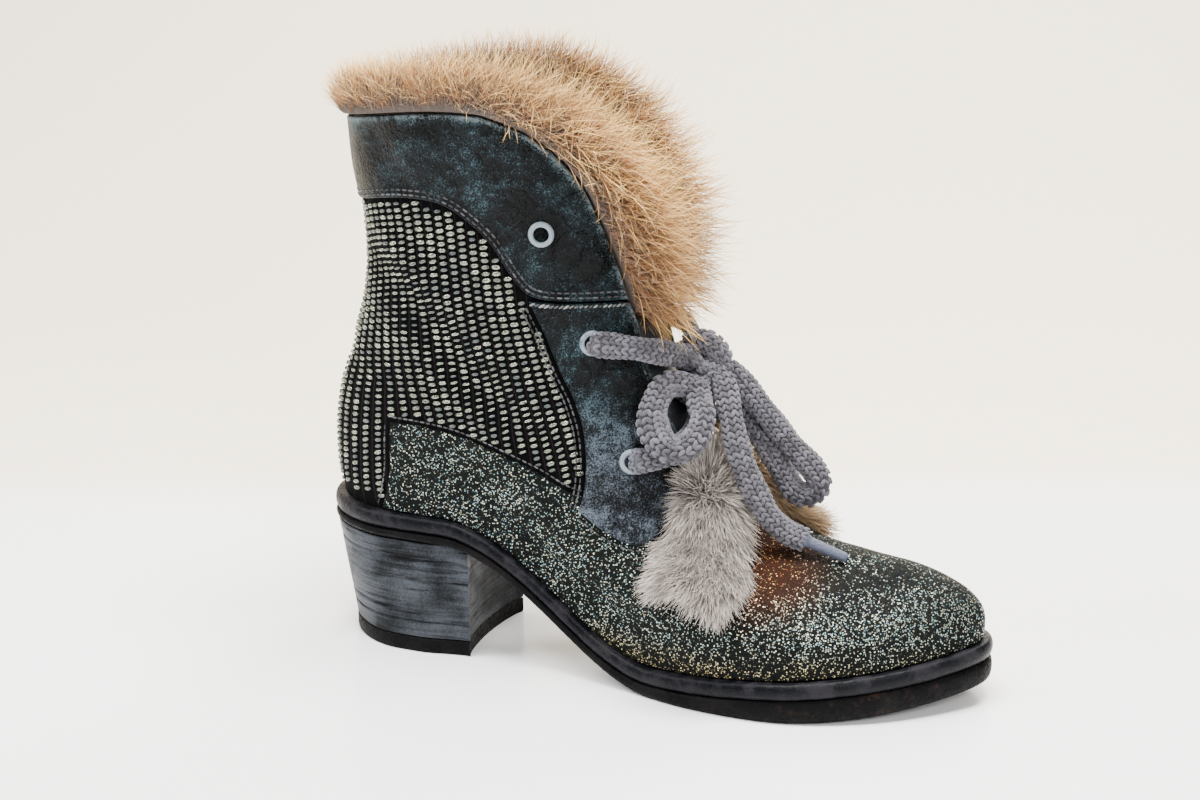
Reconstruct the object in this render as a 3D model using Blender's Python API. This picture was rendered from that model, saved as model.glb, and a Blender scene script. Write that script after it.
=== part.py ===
"""Right ankle boot for a woman: block heel, welted sole, front lacing with a bow, and a fur collar.

Run with blender --background --python part.py, or from Blender's text editor. Sizes are in
millimetres and are turned into metres as each mesh is made. X runs from heel to toe, Y to the
inner (medial) side, Z up. The origin is on the floor, under the middle of the heel.
"""

import math

import bmesh
import bpy
import numpy as np
from mathutils import Vector

MM = 0.001

# Driving sizes
SOLE_LENGTH = 262.0
SOLE_BACK = -41.0
BALL_WIDTH = 91.0
HEEL_HEIGHT = 46.0
SEAT_DROP = 1.0
TOE_SPRING = 8.0
TOE_SWING = 4.0
OUTSOLE_HEIGHT = 8.5
WELT_HEIGHT = 6.5
WELT_LEDGE = 4.0
TOP_LIFT = 6.0
HEEL_BREAST = 26.0
HEEL_PINCH = 3.0
HEEL_BACK_RAKE = 7.0
BREAST_HOLLOW = 3.5
SHAFT_HEIGHT = 148.0
SHAFT_HALF = 33.0
COLLAR_CROWN = 7.0
WALL = 2.0
OVERLAY = 1.3
INSOLE_HEIGHT = 2.5
EYELET_RADIUS = 5.2
EYELET_BORE = 2.6
EYELET_BARREL = 3.4
EYELET_RISE = 1.2
EYELET_SEAT = 0.9
HOLE_DEPTH = 16.0
FUR_START = 0.68
FUR_CLEARANCE = 0.9
FUR_SEAT = 0.8
LACE_RADIUS = 3.6
TIP_RADIUS = 2.0
TIP_LENGTH = 16.0
KNOT_RADIUS = 9.0
FUR_REACH = 20.0
FUR_DEPTH = 12.0
LOCK_LENGTH = 6.0
FLAP_WIDTH = 38.0
FLAP_DEPTH = 11.0
TONGUE_THICKNESS = 3.0
TONGUE_CLEARANCE = 0.75
GAP = 0.3
SEAT_GAP = 0.4
OUTSOLE_RIM = 1.8

# Outline of the sole. Widths are shares of BALL_WIDTH, from the centre line to each side,
# before the round ends are taken off.
SOLE_OUTLINE = (
    # share of length, lateral, medial
    (0.00, 0.310, 0.300),
    (0.12, 0.335, 0.325),
    (0.25, 0.345, 0.310),
    (0.38, 0.350, 0.275),
    (0.50, 0.410, 0.330),
    (0.62, 0.505, 0.430),
    (0.72, 0.530, 0.475),
    (0.82, 0.500, 0.465),
    (0.90, 0.450, 0.430),
    (1.00, 0.340, 0.390),
)
HEEL_ROUND = 0.13
TOE_ROUND = 0.28

# Heights of the two layers of the sole, as shares of OUTSOLE_HEIGHT and WELT_HEIGHT.
SOLE_LAYERS = (
    # share of length, outsole, welt
    (0.00, 0.35, 1.08),
    (0.30, 0.42, 0.95),
    (0.50, 0.50, 0.95),
    (0.62, 0.68, 1.00),
    (0.75, 1.00, 1.00),
    (1.00, 1.00, 1.12),
)
WAIST_START = 0.215
WAIST_END = 0.555
SPRING_START = 0.74

# Edges of the two layers: how far each ring stands in from the outline, as a share of EDGE_ROLL,
# and how far up the layer it lies.
EDGE_ROLL = 1.6
OUTSOLE_EDGE = ((0.31, 0.16), (0.06, 0.45), (0.19, 0.85), (0.88, 1.00))
TOP_LIFT_EDGE = ((1.00, 0.00), (0.56, 0.13), (0.56, 0.87), (0.88, 1.00))
WELT_EDGE = ((0.88, 0.00), (0.19, 0.20), (0.00, 0.50), (0.25, 0.82), (1.00, 1.00))

# Stack of the heel: shares of its height and how far its wall stands in from the sole's edge, as a
# share of EDGE_ROLL.
HEEL_STACK = (
    # share of height, inset
    (0.00, 0.62), (0.15, 0.62), (0.17, 1.06), (0.19, 0.62), (0.26, 0.62), (0.28, 1.00), (0.30, 0.62),
    (0.80, 0.56), (0.82, 0.94), (0.84, 0.56), (1.00, 0.50),
)

# The upper is a stack of loops, from the welt (level 0) to the collar (level 1). Front and back
# are where a loop crosses the middle plane: along the sole as shares of SOLE_LENGTH, and up as a
# share of the height from the toe's welt to the collar.
FRONT_LINE = (
    # level, along, up
    (0.00, 0.986, 0.000),
    (0.03, 0.984, 0.050),
    (0.06, 0.968, 0.080),
    (0.09, 0.943, 0.101),
    (0.13, 0.901, 0.123),
    (0.18, 0.832, 0.141),
    (0.22, 0.779, 0.150),
    (0.26, 0.729, 0.164),
    (0.31, 0.679, 0.197),
    (0.36, 0.641, 0.251),
    (0.42, 0.607, 0.315),
    (0.55, 0.557, 0.454),
    (0.70, 0.517, 0.624),
    (0.86, 0.490, 0.810),
    (1.00, 0.477, 1.000),
)
BACK_LINE = (
    # level, along
    (0.00, 0.015),
    (0.07, 0.008),
    (0.14, 0.006),
    (0.25, 0.012),
    (0.33, 0.024),
    (0.44, 0.044),
    (0.55, 0.063),
    (0.68, 0.069),
    (0.77, 0.068),
    (0.89, 0.057),
    (1.00, 0.053),
)
# How each loop is filled out: the forefoot's width against the sole's, the shaft's half width as a
# share of SHAFT_HALF, and the lengths of its round back and its nose as shares of the loop.
LOOP_FORM = (
    # level, forefoot, shaft, back round, nose
    (0.00, 1.00, 0.95, 0.13, 0.28),
    (0.06, 1.02, 0.97, 0.15, 0.36),
    (0.13, 1.00, 0.99, 0.18, 0.46),
    (0.22, 0.94, 1.00, 0.22, 0.56),
    (0.32, 0.86, 0.98, 0.27, 0.58),
    (0.45, 0.80, 0.94, 0.32, 0.56),
    (0.60, 0.80, 0.93, 0.34, 0.52),
    (0.80, 0.80, 0.97, 0.34, 0.50),
    (1.00, 0.80, 1.04, 0.34, 0.48),
)
# Level at which a loop has become the shaft's, and the one up to which loops take up the welt.
ANKLE_LEVEL = 0.6
WELT_HOLD = 0.12
# The throat's edge: how far round each loop the leather reaches, in degrees from the back.
THROAT_BASE = 0.385
THROAT_EDGE = (
    # level, reach
    (0.385, 180.0),
    (0.400, 166.0),
    (0.430, 158.0),
    (0.500, 155.0),
    (0.600, 153.0),
    (0.700, 153.5),
    (0.800, 149.5),
    (0.870, 144.0),
    (0.930, 135.0),
    (0.965, 124.0),
    (0.985, 114.0),
    (1.000, 100.0),
)
LOOP_LEVELS = (
    0.0, 0.04, 0.08, 0.13, 0.18, 0.23, 0.28, 0.33, 0.385, 0.41, 0.46,
    0.54, 0.63, 0.72, 0.81, 0.88, 0.93, 0.97, 1.0,
)
# Points round each half of the sole and of every loop, so that their facets lie on each other.
HALF_POINTS = 21
TONGUE_ROWS = 9
TONGUE_COLUMNS = 9
# Points round an eyelet, its hole and a fur flap, round the back edge of the heel on each side,
# across its breast, and along the fur at the collar's top.
ROUND_STEPS = 10
HEEL_STEPS = 9
BREAST_STEPS = 6
COLLAR_STEPS = 22

# The tongue: how far it reaches round each side of its loops' front, in degrees.
TONGUE_FORM = (
    # level, spread
    (0.34, 20.0),
    (0.40, 34.0),
    (0.50, 38.0),
    (0.60, 38.0),
    (0.66, 34.0),
    (0.70, 22.0),
)

# Lower edge of the collar yoke, seen from the side: along as shares of SOLE_LENGTH, and up as
# shares of SHAFT_HEIGHT above the heel's welt.
YOKE_LINE = (
    # along, up
    (-0.070, 0.795),
    (0.085, 0.795),
    (0.170, 0.830),
    (0.220, 0.830),
    (0.280, 0.782),
    (0.310, 0.738),
    (0.330, 0.683),
    (0.350, 0.617),
    (0.362, 0.600),
    (0.490, 0.606),
)
# Outline of the lacing tab below it, from the seam down the back edge and round the toe end.
TAB_LINE = (
    # along, up
    (0.500, 0.600),
    (0.362, 0.594),
    (0.384, 0.506),
    (0.405, 0.420),
    (0.426, 0.345),
    (0.438, 0.270),
    (0.443, 0.195),
    (0.442, 0.120),
    (0.435, 0.057),
    (0.468, 0.024),
    (0.505, -0.008),
    (0.527, -0.018),
    (0.550, 0.016),
    (0.575, 0.072),
    (0.585, 0.135),
    (0.582, 0.210),
    (0.620, 0.300),
)
# Eyelets, seen from the side in the same shares.
EYELETS = (
    # name, along, up
    ("top", 0.381, 0.761),
    ("middle", 0.447, 0.490),
    ("lower", 0.504, 0.194),
)

# The fur along the collar's edge, from the front of the throat round to the back: how far it
# stands past the edge and how deep it is, as shares of FUR_REACH and FUR_DEPTH, how far its
# lining hangs inside, as a share of FUR_REACH, and how much it leans to the front.
FUR_FORM = (
    # share of the way, reach, depth, inside, lean
    (0.00, 0.75, 0.70, 0.25, 1.6),
    (0.12, 1.05, 0.90, 0.25, 1.6),
    (0.30, 1.15, 1.00, 0.30, 1.2),
    (0.45, 1.10, 1.00, 0.40, 0.8),
    (0.60, 0.95, 1.00, 0.60, 0.2),
    (1.00, 0.80, 0.95, 0.70, 0.0),
)
# How far the fur stands out of the leather at its rim, and how thick its lining is at the hem, as
# shares of its depth.
FUR_LIP = 0.18
FUR_HEM = 0.55
# Section of the fur: past the edge as shares of reach, and out of the leather as shares of depth.
FUR_SECTION = (
    # past the edge, out
    (0.10, 0.35),
    (0.45, 0.62),
    (0.85, 0.40),
    (1.00, -0.10),
    (0.80, -0.62),
    (0.40, -0.95),
)

# The two fur flaps lie on the vamp below the throat. Level and angle place their centre line on
# the upper, and their width and thickness are shares of FLAP_WIDTH and FLAP_DEPTH.
OUTER_FLAP = (
    # level, angle, width, thickness
    (0.44, 165.0, 0.24, 0.32),
    (0.40, 159.0, 0.47, 0.55),
    (0.34, 147.0, 0.79, 0.91),
    (0.26, 132.0, 1.00, 1.00),
    (0.17, 117.0, 0.95, 0.82),
    (0.12, 109.0, 0.47, 0.45),
)
INNER_FLAP = (
    # level, angle, width, thickness
    (0.44, 166.0, 0.24, 0.32),
    (0.40, 162.0, 0.47, 0.55),
    (0.34, 154.0, 0.63, 0.82),
    (0.28, 148.0, 0.74, 0.82),
    (0.22, 140.0, 0.74, 0.64),
    (0.18, 134.0, 0.42, 0.36),
)

# Routes of the lace, chosen by eye along what each stretch shows: along as shares of SOLE_LENGTH,
# across as shares of SHAFT_HALF, and up as shares of SHAFT_HEIGHT above the heel's welt.
OUTER_LOOP = (
    (0.586, -0.32, 0.382), (0.550, -0.56, 0.390), (0.540, -0.80, 0.333), (0.552, -0.91, 0.279),
    (0.578, -0.91, 0.249), (0.601, -0.82, 0.272), (0.607, -0.64, 0.320), (0.595, -0.50, 0.350),
)
# Stretches of lace between the eyelets and the knot, on the outer side; the inner side mirrors them.
LACE_BAR = (
    (0.482, -0.77, 0.490), (0.511, -0.71, 0.485), (0.536, -0.53, 0.470), (0.556, -0.23, 0.447),
)
LACE_CROSSING = (
    (0.529, -0.82, 0.209), (0.555, -0.76, 0.225), (0.578, -0.52, 0.252), (0.584, -0.18, 0.289),
    (0.571, 0.11, 0.343), (0.556, 0.24, 0.378),
)
KNOT_PLACE = (0.578, 0.00, 0.428)
KNOT_FORM = (0.8, 1.0, 0.85)
INNER_LOOP = (
    (0.612, 0.04, 0.413), (0.634, 0.09, 0.367), (0.664, 0.20, 0.292), (0.695, 0.30, 0.211),
    (0.725, 0.36, 0.147), (0.727, 0.36, 0.093), (0.700, 0.30, 0.103), (0.677, 0.27, 0.171),
    (0.645, 0.27, 0.249), (0.611, 0.29, 0.326),
)
OUTER_END = (
    (0.615, -0.17, 0.393), (0.634, -0.36, 0.323), (0.649, -0.45, 0.242), (0.670, -0.45, 0.151),
    (0.693, -0.41, 0.076), (0.718, -0.35, 0.031), (0.744, -0.30, 0.011),
)
INNER_END = (
    (0.586, 0.24, 0.391), (0.588, 0.62, 0.330), (0.595, 0.91, 0.259), (0.611, 1.11, 0.188),
    (0.630, 1.24, 0.117), (0.651, 1.32, 0.049), (0.670, 1.35, -0.012),
)


def along(share):
    """Place along the boot of a share of the sole's length."""
    return SOLE_BACK + share * SOLE_LENGTH


def smooth(value):
    """Eased step: 0 below 0, 1 above 1."""
    value = np.clip(value, 0.0, 1.0)
    return value * value * (3.0 - 2.0 * value)


def blend(low, high, share):
    return low + (high - low) * share


def read_table(table, column, value):
    """Smooth curve through one column of a table, at a value of its first column."""
    rows = np.array(table)
    places = rows[:, 0]
    heights = rows[:, column]
    value = np.clip(value, places[0], places[-1])
    slopes = np.gradient(heights, places)
    index = np.clip(np.searchsorted(places, value) - 1, 0, len(places) - 2)
    width = places[index + 1] - places[index]
    part = (value - places[index]) / width
    start = heights[index] * (1 + 2 * part) + slopes[index] * width * part
    end = heights[index + 1] * (3 - 2 * part) - slopes[index + 1] * width * (1 - part)
    return start * (1 - part) ** 2 + end * part ** 2


def rounded(distance, reach):
    """Quarter of an ellipse: 0 at the end of a form, 1 from reach on."""
    return np.sqrt(1.0 - (1.0 - np.clip(distance / reach, 0.0, 1.0)) ** 2)


def swing(share):
    """Sideways bend of the centre line, towards the inner side at the toe."""
    return TOE_SWING * np.clip((share - 0.55) / 0.45, 0.0, 1.0) ** 1.3


def sole_side(share, side):
    """Y of the sole's edge. Side is -1 for lateral and 1 for medial."""
    column = 1 if side < 0 else 2
    width = read_table(SOLE_OUTLINE, column, share) * BALL_WIDTH
    width = width * rounded(share, HEEL_ROUND) * rounded(1.0 - share, TOE_ROUND)
    return swing(share) + side * width


def sole_turn(angle):
    """Point of the sole's outline: 0 at the heel, pi at the toe, negative on the inner side."""
    share = (1.0 - math.cos(angle)) / 2.0
    side = -1.0 if math.sin(angle) > 0 else 1.0
    return np.array((along(share), float(sole_side(share, side))))


def sole_edge(angle, inset):
    """Point of the sole's outline, moved in by inset."""
    step = 0.01
    points = [sole_turn(turn) for turn in (angle - step, angle, angle + step)]
    tangent = points[2] - points[0]
    inward = np.array((-tangent[1], tangent[0])) / np.linalg.norm(tangent)
    return points[1] + inward * inset


def floor_line(x):
    """Height of the sole's underside."""
    share = (x - SOLE_BACK) / SOLE_LENGTH
    waist = smooth((share - WAIST_START) / (WAIST_END - WAIST_START))
    spring = np.clip((share - SPRING_START) / (1.0 - SPRING_START), 0.0, None) ** 1.8
    seat = HEEL_HEIGHT - SEAT_DROP * np.clip(share / WAIST_START, 0.0, 1.0)
    return seat * (1.0 - waist) + TOE_SPRING * spring


def outsole_top(x):
    share = np.clip((x - SOLE_BACK) / SOLE_LENGTH, 0.0, 1.0)
    return floor_line(x) + OUTSOLE_HEIGHT * read_table(SOLE_LAYERS, 1, share)


def welt_top(x):
    share = np.clip((x - SOLE_BACK) / SOLE_LENGTH, 0.0, 1.0)
    return outsole_top(x) + WELT_HEIGHT * read_table(SOLE_LAYERS, 2, share)


def feather(x):
    """Height at which the upper meets the welt."""
    return welt_top(x) + GAP


def loop_ends(level):
    """Back and front of a loop in the middle plane, as (x, z) pairs."""
    back_x = along(read_table(BACK_LINE, 1, level))
    heel_z = feather(along(BACK_LINE[0][1]))
    back_z = heel_z + SHAFT_HEIGHT * level
    front_x = along(read_table(FRONT_LINE, 1, level))
    toe_z = feather(along(FRONT_LINE[0][1]))
    front_z = blend(toe_z, heel_z + SHAFT_HEIGHT, read_table(FRONT_LINE, 2, level))
    return (back_x, back_z), (front_x, front_z)


def loop_rule(level, angle):
    """Point of a loop by the tables alone."""
    (back_x, back_z), (front_x, front_z) = loop_ends(level)
    side = -1.0 if math.sin(angle) >= 0 else 1.0
    share = (1.0 - math.cos(angle)) / 2.0
    column = 1 if side < 0 else 2
    foot = read_table(SOLE_OUTLINE, column, share) * BALL_WIDTH - WELT_LEDGE
    foot = foot * read_table(LOOP_FORM, 1, level)
    shaft = SHAFT_HALF * read_table(LOOP_FORM, 2, level)
    half = blend(foot, shaft, smooth(level / ANKLE_LEVEL))
    half = half * rounded(share, read_table(LOOP_FORM, 3, level))
    half = half * rounded(1.0 - share, read_table(LOOP_FORM, 4, level))
    bend = swing(share) * (1.0 - smooth(level / ANKLE_LEVEL))
    # Near the welt a loop falls with the sole, higher up it runs straight from back to front.
    heel_z = feather(along(BACK_LINE[0][1]))
    toe_z = feather(along(FRONT_LINE[0][1]))
    sole_fall = (feather(along(share)) - heel_z) / (toe_z - heel_z)
    fall = blend(sole_fall, share, smooth(level / ANKLE_LEVEL))
    crown = COLLAR_CROWN * math.sin(math.pi * share) * level ** 4
    return np.array((
        blend(back_x, front_x, share),
        bend + side * half,
        blend(back_z, front_z, fall) + crown,
    ))


def feather_point(angle):
    """Point where the upper meets the welt, at an even ledge from the sole's edge."""
    edge = sole_edge(angle, WELT_LEDGE)
    return np.array((edge[0], edge[1], feather(edge[0])))


def loop_point(level, angle):
    """Point of the upper's outer face. Angle is 0 at the back, pi in front, negative on the inner side.

    The lowest loops take up the welt's true outline.
    """
    point = loop_rule(level, angle)
    hold = np.clip(1.0 - level / WELT_HOLD, 0.0, 1.0) ** 2
    if hold > 0:
        point = point + hold * (feather_point(angle) - loop_rule(0.0, angle))
    return point


def throat_reach(level):
    """Angle at which the leather of a loop ends."""
    if level <= THROAT_BASE:
        return math.pi
    return math.radians(float(read_table(THROAT_EDGE, 1, level)))


def material(name, colour, roughness, metallic=0.0):
    made = bpy.data.materials.new(name)
    made.use_nodes = True
    shader = made.node_tree.nodes["Principled BSDF"]
    shader.inputs["Base Color"].default_value = (*colour, 1.0)
    shader.inputs["Roughness"].default_value = roughness
    shader.inputs["Metallic"].default_value = metallic
    return made


def add_object(name, bm, surface, collection):
    """Mesh object from a bmesh in millimetres, with its faces turned outwards."""
    bmesh.ops.recalc_face_normals(bm, faces=bm.faces)
    bmesh.ops.scale(bm, vec=(MM, MM, MM), verts=bm.verts)
    mesh = bpy.data.meshes.new(name)
    bm.to_mesh(mesh)
    bm.free()
    if surface is not None:
        mesh.materials.append(surface)
    made = bpy.data.objects.new(name, mesh)
    collection.objects.link(made)
    return made


def plate(name, rings, surface, collection):
    """Solid between rings of equal point counts, closed below the first and above the last."""
    bm = bmesh.new()
    rows = [[bm.verts.new(point) for point in ring] for ring in rings]
    count = len(rows[0])
    for low, high in zip(rows, rows[1:]):
        for i in range(count):
            j = (i + 1) % count
            bm.faces.new((low[i], low[j], high[j], high[i]))
    for row in (rows[0], rows[-1]):
        # Point i and point count - i lie across the sole from each other.
        half = count // 2
        bm.faces.new((row[0], row[1], row[-1]))
        for i in range(1, half - 1):
            bm.faces.new((row[i], row[i + 1], row[count - i - 1], row[count - i]))
        bm.faces.new((row[half - 1], row[half], row[half + 1]))
    return add_object(name, bm, surface, collection)


def sole_ring(inset, height):
    """Ring round the sole, moved in by inset. Height is a function of x."""
    ring = []
    for i in range(2 * HALF_POINTS):
        point = sole_edge(math.pi * i / HALF_POINTS, inset)
        ring.append((point[0], point[1], float(height(point[0]))))
    return ring


def layer_ring(inset, low, high, share):
    """Ring between two surfaces of the sole, at a share of the way up."""
    return sole_ring(inset, lambda x: blend(low(x), high(x), share))


def add_outsole(surface, collection):
    rings = [layer_ring(OUTSOLE_RIM, floor_line, outsole_top, 0.0)]
    for inset, share in OUTSOLE_EDGE:
        rings.append(layer_ring(inset * EDGE_ROLL, floor_line, outsole_top, share))
    return plate("outsole", rings, surface, collection)


def add_welt(surface, collection):
    def underside(x):
        return outsole_top(x) + GAP
    rings = []
    for inset, share in WELT_EDGE:
        rings.append(layer_ring(inset * EDGE_ROLL, underside, welt_top, share))
    return plate("welt", rings, surface, collection)


def add_insole(surface, collection):
    inset = WELT_LEDGE + WALL + 3 * GAP
    rings = [
        sole_ring(inset, lambda x: welt_top(x) + GAP),
        sole_ring(inset, lambda x: welt_top(x) + GAP + INSOLE_HEIGHT),
    ]
    return plate("insole", rings, surface, collection)


def upper_sheet():
    """Open outer face of the upper as rows of vertices in a new bmesh, all in triangles."""
    bm = bmesh.new()
    rows = []
    for level in LOOP_LEVELS:
        reach = throat_reach(level)
        shares = np.linspace(-1.0, 1.0, 2 * HALF_POINTS + 1)
        row = [bm.verts.new(loop_point(level, reach * share)) for share in shares[:-1]]
        row.append(row[0] if reach >= math.pi else bm.verts.new(loop_point(level, reach)))
        rows.append(row)
    for low, high in zip(rows, rows[1:]):
        for i in range(2 * HALF_POINTS):
            corners = []
            for vert in (low[i], low[i + 1], high[i + 1], high[i]):
                if vert not in corners:
                    corners.append(vert)
            bm.faces.new(corners)
    bmesh.ops.triangulate(bm, faces=bm.faces)
    bmesh.ops.recalc_face_normals(bm, faces=bm.faces)
    bm.normal_update()
    return bm, rows


def upper_shell(inner, outer):
    """Closed shell that follows the upper, between two distances out from its outer face."""
    bm, rows = upper_sheet()
    feather_row = set(rows[0])
    outside = [face for face in bm.faces]
    edges = [edge for edge in bm.edges if edge.is_boundary]
    partners = {}
    for vert in list(bm.verts):
        way = vert.normal.copy()
        if vert in feather_row:
            way.z = 0.0
            way.normalize()
        partners[vert] = bm.verts.new(vert.co + way * inner)
        vert.co = vert.co + way * outer
    for face in outside:
        bm.faces.new([partners[vert] for vert in reversed(face.verts)])
    for edge in edges:
        first, second = edge.verts
        bm.faces.new((first, second, partners[second], partners[first]))
    return bm


def add_upper(surface, collection):
    return add_object("upper", upper_shell(-WALL, 0.0), surface, collection)


def heel_outline(inset, rake):
    """Outline of the heel: the sole's back edge, two corners and a hollow breast."""
    points = []
    corner = math.acos(1.0 - 2.0 * (HEEL_BREAST - SOLE_BACK) / SOLE_LENGTH)
    for i in range(-HEEL_STEPS, HEEL_STEPS + 1):
        x, y = sole_edge(corner * i / HEEL_STEPS, inset)
        back = 1.0 - (x - SOLE_BACK) / (HEEL_BREAST - SOLE_BACK)
        pinch = HEEL_PINCH * smooth(1.0 - 3.0 * back)
        points.append((x + rake * smooth(back), y - math.copysign(pinch, y)))
    first, last = points[0], points[-1]
    for i in range(1, BREAST_STEPS):
        share = i / BREAST_STEPS
        hollow = BREAST_HOLLOW * math.sin(math.pi * share) ** 0.6
        points.append((blend(last[0], first[0], share) - hollow, blend(last[1], first[1], share)))
    return points


def heel_ring(inset, rake, height):
    return [(x, y, float(height(x))) for x, y in heel_outline(inset, rake)]


def block(name, rings, surface, collection):
    """Solid between rings, closed by one flat face at each end."""
    bm = bmesh.new()
    rows = [[bm.verts.new(point) for point in ring] for ring in rings]
    count = len(rows[0])
    for low, high in zip(rows, rows[1:]):
        for i in range(count):
            j = (i + 1) % count
            bm.faces.new((low[i], low[j], high[j], high[i]))
    bm.faces.new(rows[0][::-1])
    bm.faces.new(rows[-1])
    return add_object(name, bm, surface, collection)


def add_heel(surface, collection):
    def top(x):
        return floor_facets(x) - SEAT_GAP
    rings = []
    for share, inset in HEEL_STACK:
        rings.append(heel_ring(
            inset * EDGE_ROLL,
            HEEL_BACK_RAKE * (1.0 - share),
            lambda x: blend(TOP_LIFT + GAP, top(x), share),
        ))
    return block("heel", rings, surface, collection)


def add_top_lift(surface, collection):
    rings = []
    for inset, share in TOP_LIFT_EDGE:
        rings.append(heel_ring(inset * EDGE_ROLL, HEEL_BACK_RAKE, lambda x: share * TOP_LIFT))
    return block("top_lift", rings, surface, collection)


def side_point(place, height, side):
    """Point and outward normal of the upper where its side view shows (x, z)."""
    low, high = 0.0, 1.0
    for _ in range(40):
        level = (low + high) / 2.0
        angle = side_angle(level, place)
        if loop_point(level, angle)[2] < height:
            low = level
        else:
            high = level
    angle = -side * side_angle(level, place)
    return loop_point(level, angle), surface_normal(level, angle)


def side_angle(level, x):
    """Angle at which a loop passes x, on the lateral side."""
    (back_x, _), (front_x, _) = loop_ends(level)
    share = np.clip((x - back_x) / (front_x - back_x), 0.0, 1.0)
    return math.acos(1.0 - 2.0 * share)


def surface_normal(level, angle):
    """Outward normal of the upper's outer face."""
    step = 0.01
    up = loop_point(min(level + step, 1.0), angle) - loop_point(max(level - step, 0.0), angle)
    round_way = loop_point(level, angle + step) - loop_point(level, angle - step)
    normal = np.cross(round_way, up)
    return normal / np.linalg.norm(normal)


def height_up(share):
    """Height of a share of the shaft above the heel's welt."""
    return feather(along(BACK_LINE[0][1])) + share * SHAFT_HEIGHT


def side_prism(name, outline, low_y, high_y, cutters):
    """Cutter through the boot: a side-view outline carried from low_y to high_y."""
    bm = bmesh.new()
    near = [bm.verts.new((along(place), low_y, height_up(up))) for place, up in outline]
    far = [bm.verts.new((along(place), high_y, height_up(up))) for place, up in outline]
    bm.faces.new(near)
    bm.faces.new(far[::-1])
    for i in range(len(near)):
        j = (i + 1) % len(near)
        bm.faces.new((near[i], far[i], far[j], near[j]))
    made = add_object(name, bm, None, cutters)
    made.hide_render = True
    made.display_type = "WIRE"
    return made


def cut_with(made, cutter, operation):
    cut = made.modifiers.new(cutter.name, "BOOLEAN")
    cut.solver = "MANIFOLD"
    cut.operation = operation
    cut.object = cutter


def add_overlay(name, outline, low_y, high_y, surface, collection, cutters):
    """Leather laid on the upper: the part of a larger shell inside a side-view outline."""
    made = add_object(name, upper_shell(GAP, GAP + OVERLAY), surface, collection)
    cut_with(made, side_prism(name + "_outline", outline, low_y, high_y, cutters), "INTERSECT")
    return made


def add_eyelet_holes(collection):
    """Cutters for the eyelets' holes, one through each side at each height."""
    cutters = []
    for name, place, up in EYELETS:
        for side in (-1.0, 1.0):
            point, normal = side_point(along(place), height_up(up), side)
            bm = bmesh.new()
            bmesh.ops.create_cone(
                bm, cap_ends=True, segments=ROUND_STEPS, depth=HOLE_DEPTH,
                radius1=EYELET_BARREL + GAP, radius2=EYELET_BARREL + GAP,
            )
            made = add_object(f"hole_{name}_{side:.0f}", bm, None, collection)
            made.location = point * MM
            made.rotation_euler = Vector(normal).to_track_quat("Z", "Y").to_euler()
            made.hide_render = True
            made.display_type = "WIRE"
            cutters.append(made)
    return cutters


def add_eyelet(name, place, up, side, surface, collection):
    """Turned eyelet: a rolled flange on the leather and a barrel through it."""
    point, normal = side_point(along(place), height_up(up), side)
    seat = OVERLAY + EYELET_SEAT
    profile = (
        (EYELET_BORE, seat + EYELET_RISE),
        ((EYELET_BORE + EYELET_RADIUS) / 2.0, seat + EYELET_RISE * 1.2),
        (EYELET_RADIUS, seat + EYELET_RISE * 0.4),
        (EYELET_RADIUS, seat),
        (EYELET_BARREL, seat),
        (EYELET_BARREL, -WALL),
        (EYELET_BORE, -WALL),
    )
    bm = bmesh.new()
    rings = []
    for i in range(ROUND_STEPS):
        turn = 2.0 * math.pi * i / ROUND_STEPS
        rings.append([bm.verts.new((r * math.cos(turn), r * math.sin(turn), z)) for r, z in profile])
    for i in range(ROUND_STEPS):
        for j in range(len(profile)):
            k = (j + 1) % len(profile)
            after = rings[(i + 1) % ROUND_STEPS]
            bm.faces.new((rings[i][j], rings[i][k], after[k], after[j]))
    made = add_object(name, bm, surface, collection)
    made.location = point * MM
    made.rotation_euler = Vector(normal).to_track_quat("Z", "Y").to_euler()
    return made


def collar_path():
    """Stations along the leather's edge: from the outer side of the throat round to the inner."""
    stations = []
    throat = [level for level in LOOP_LEVELS if level > FUR_START]
    for level in throat[:-1]:
        stations.append((level, throat_reach(level)))
    reach = throat_reach(1.0)
    for i in range(COLLAR_STEPS + 1):
        stations.append((1.0, reach * (1.0 - 2.0 * i / COLLAR_STEPS)))
    for level in throat[-2::-1]:
        stations.append((level, -throat_reach(level)))
    return stations


def fur_frame(points, normals, i):
    """Directions at a station: past the leather's edge and out of the leather."""
    tangent = points[min(i + 1, len(points) - 1)] - points[max(i - 1, 0)]
    tangent = tangent / np.linalg.norm(tangent)
    past = np.cross(tangent, normals[i])
    return past / np.linalg.norm(past), normals[i]


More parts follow.
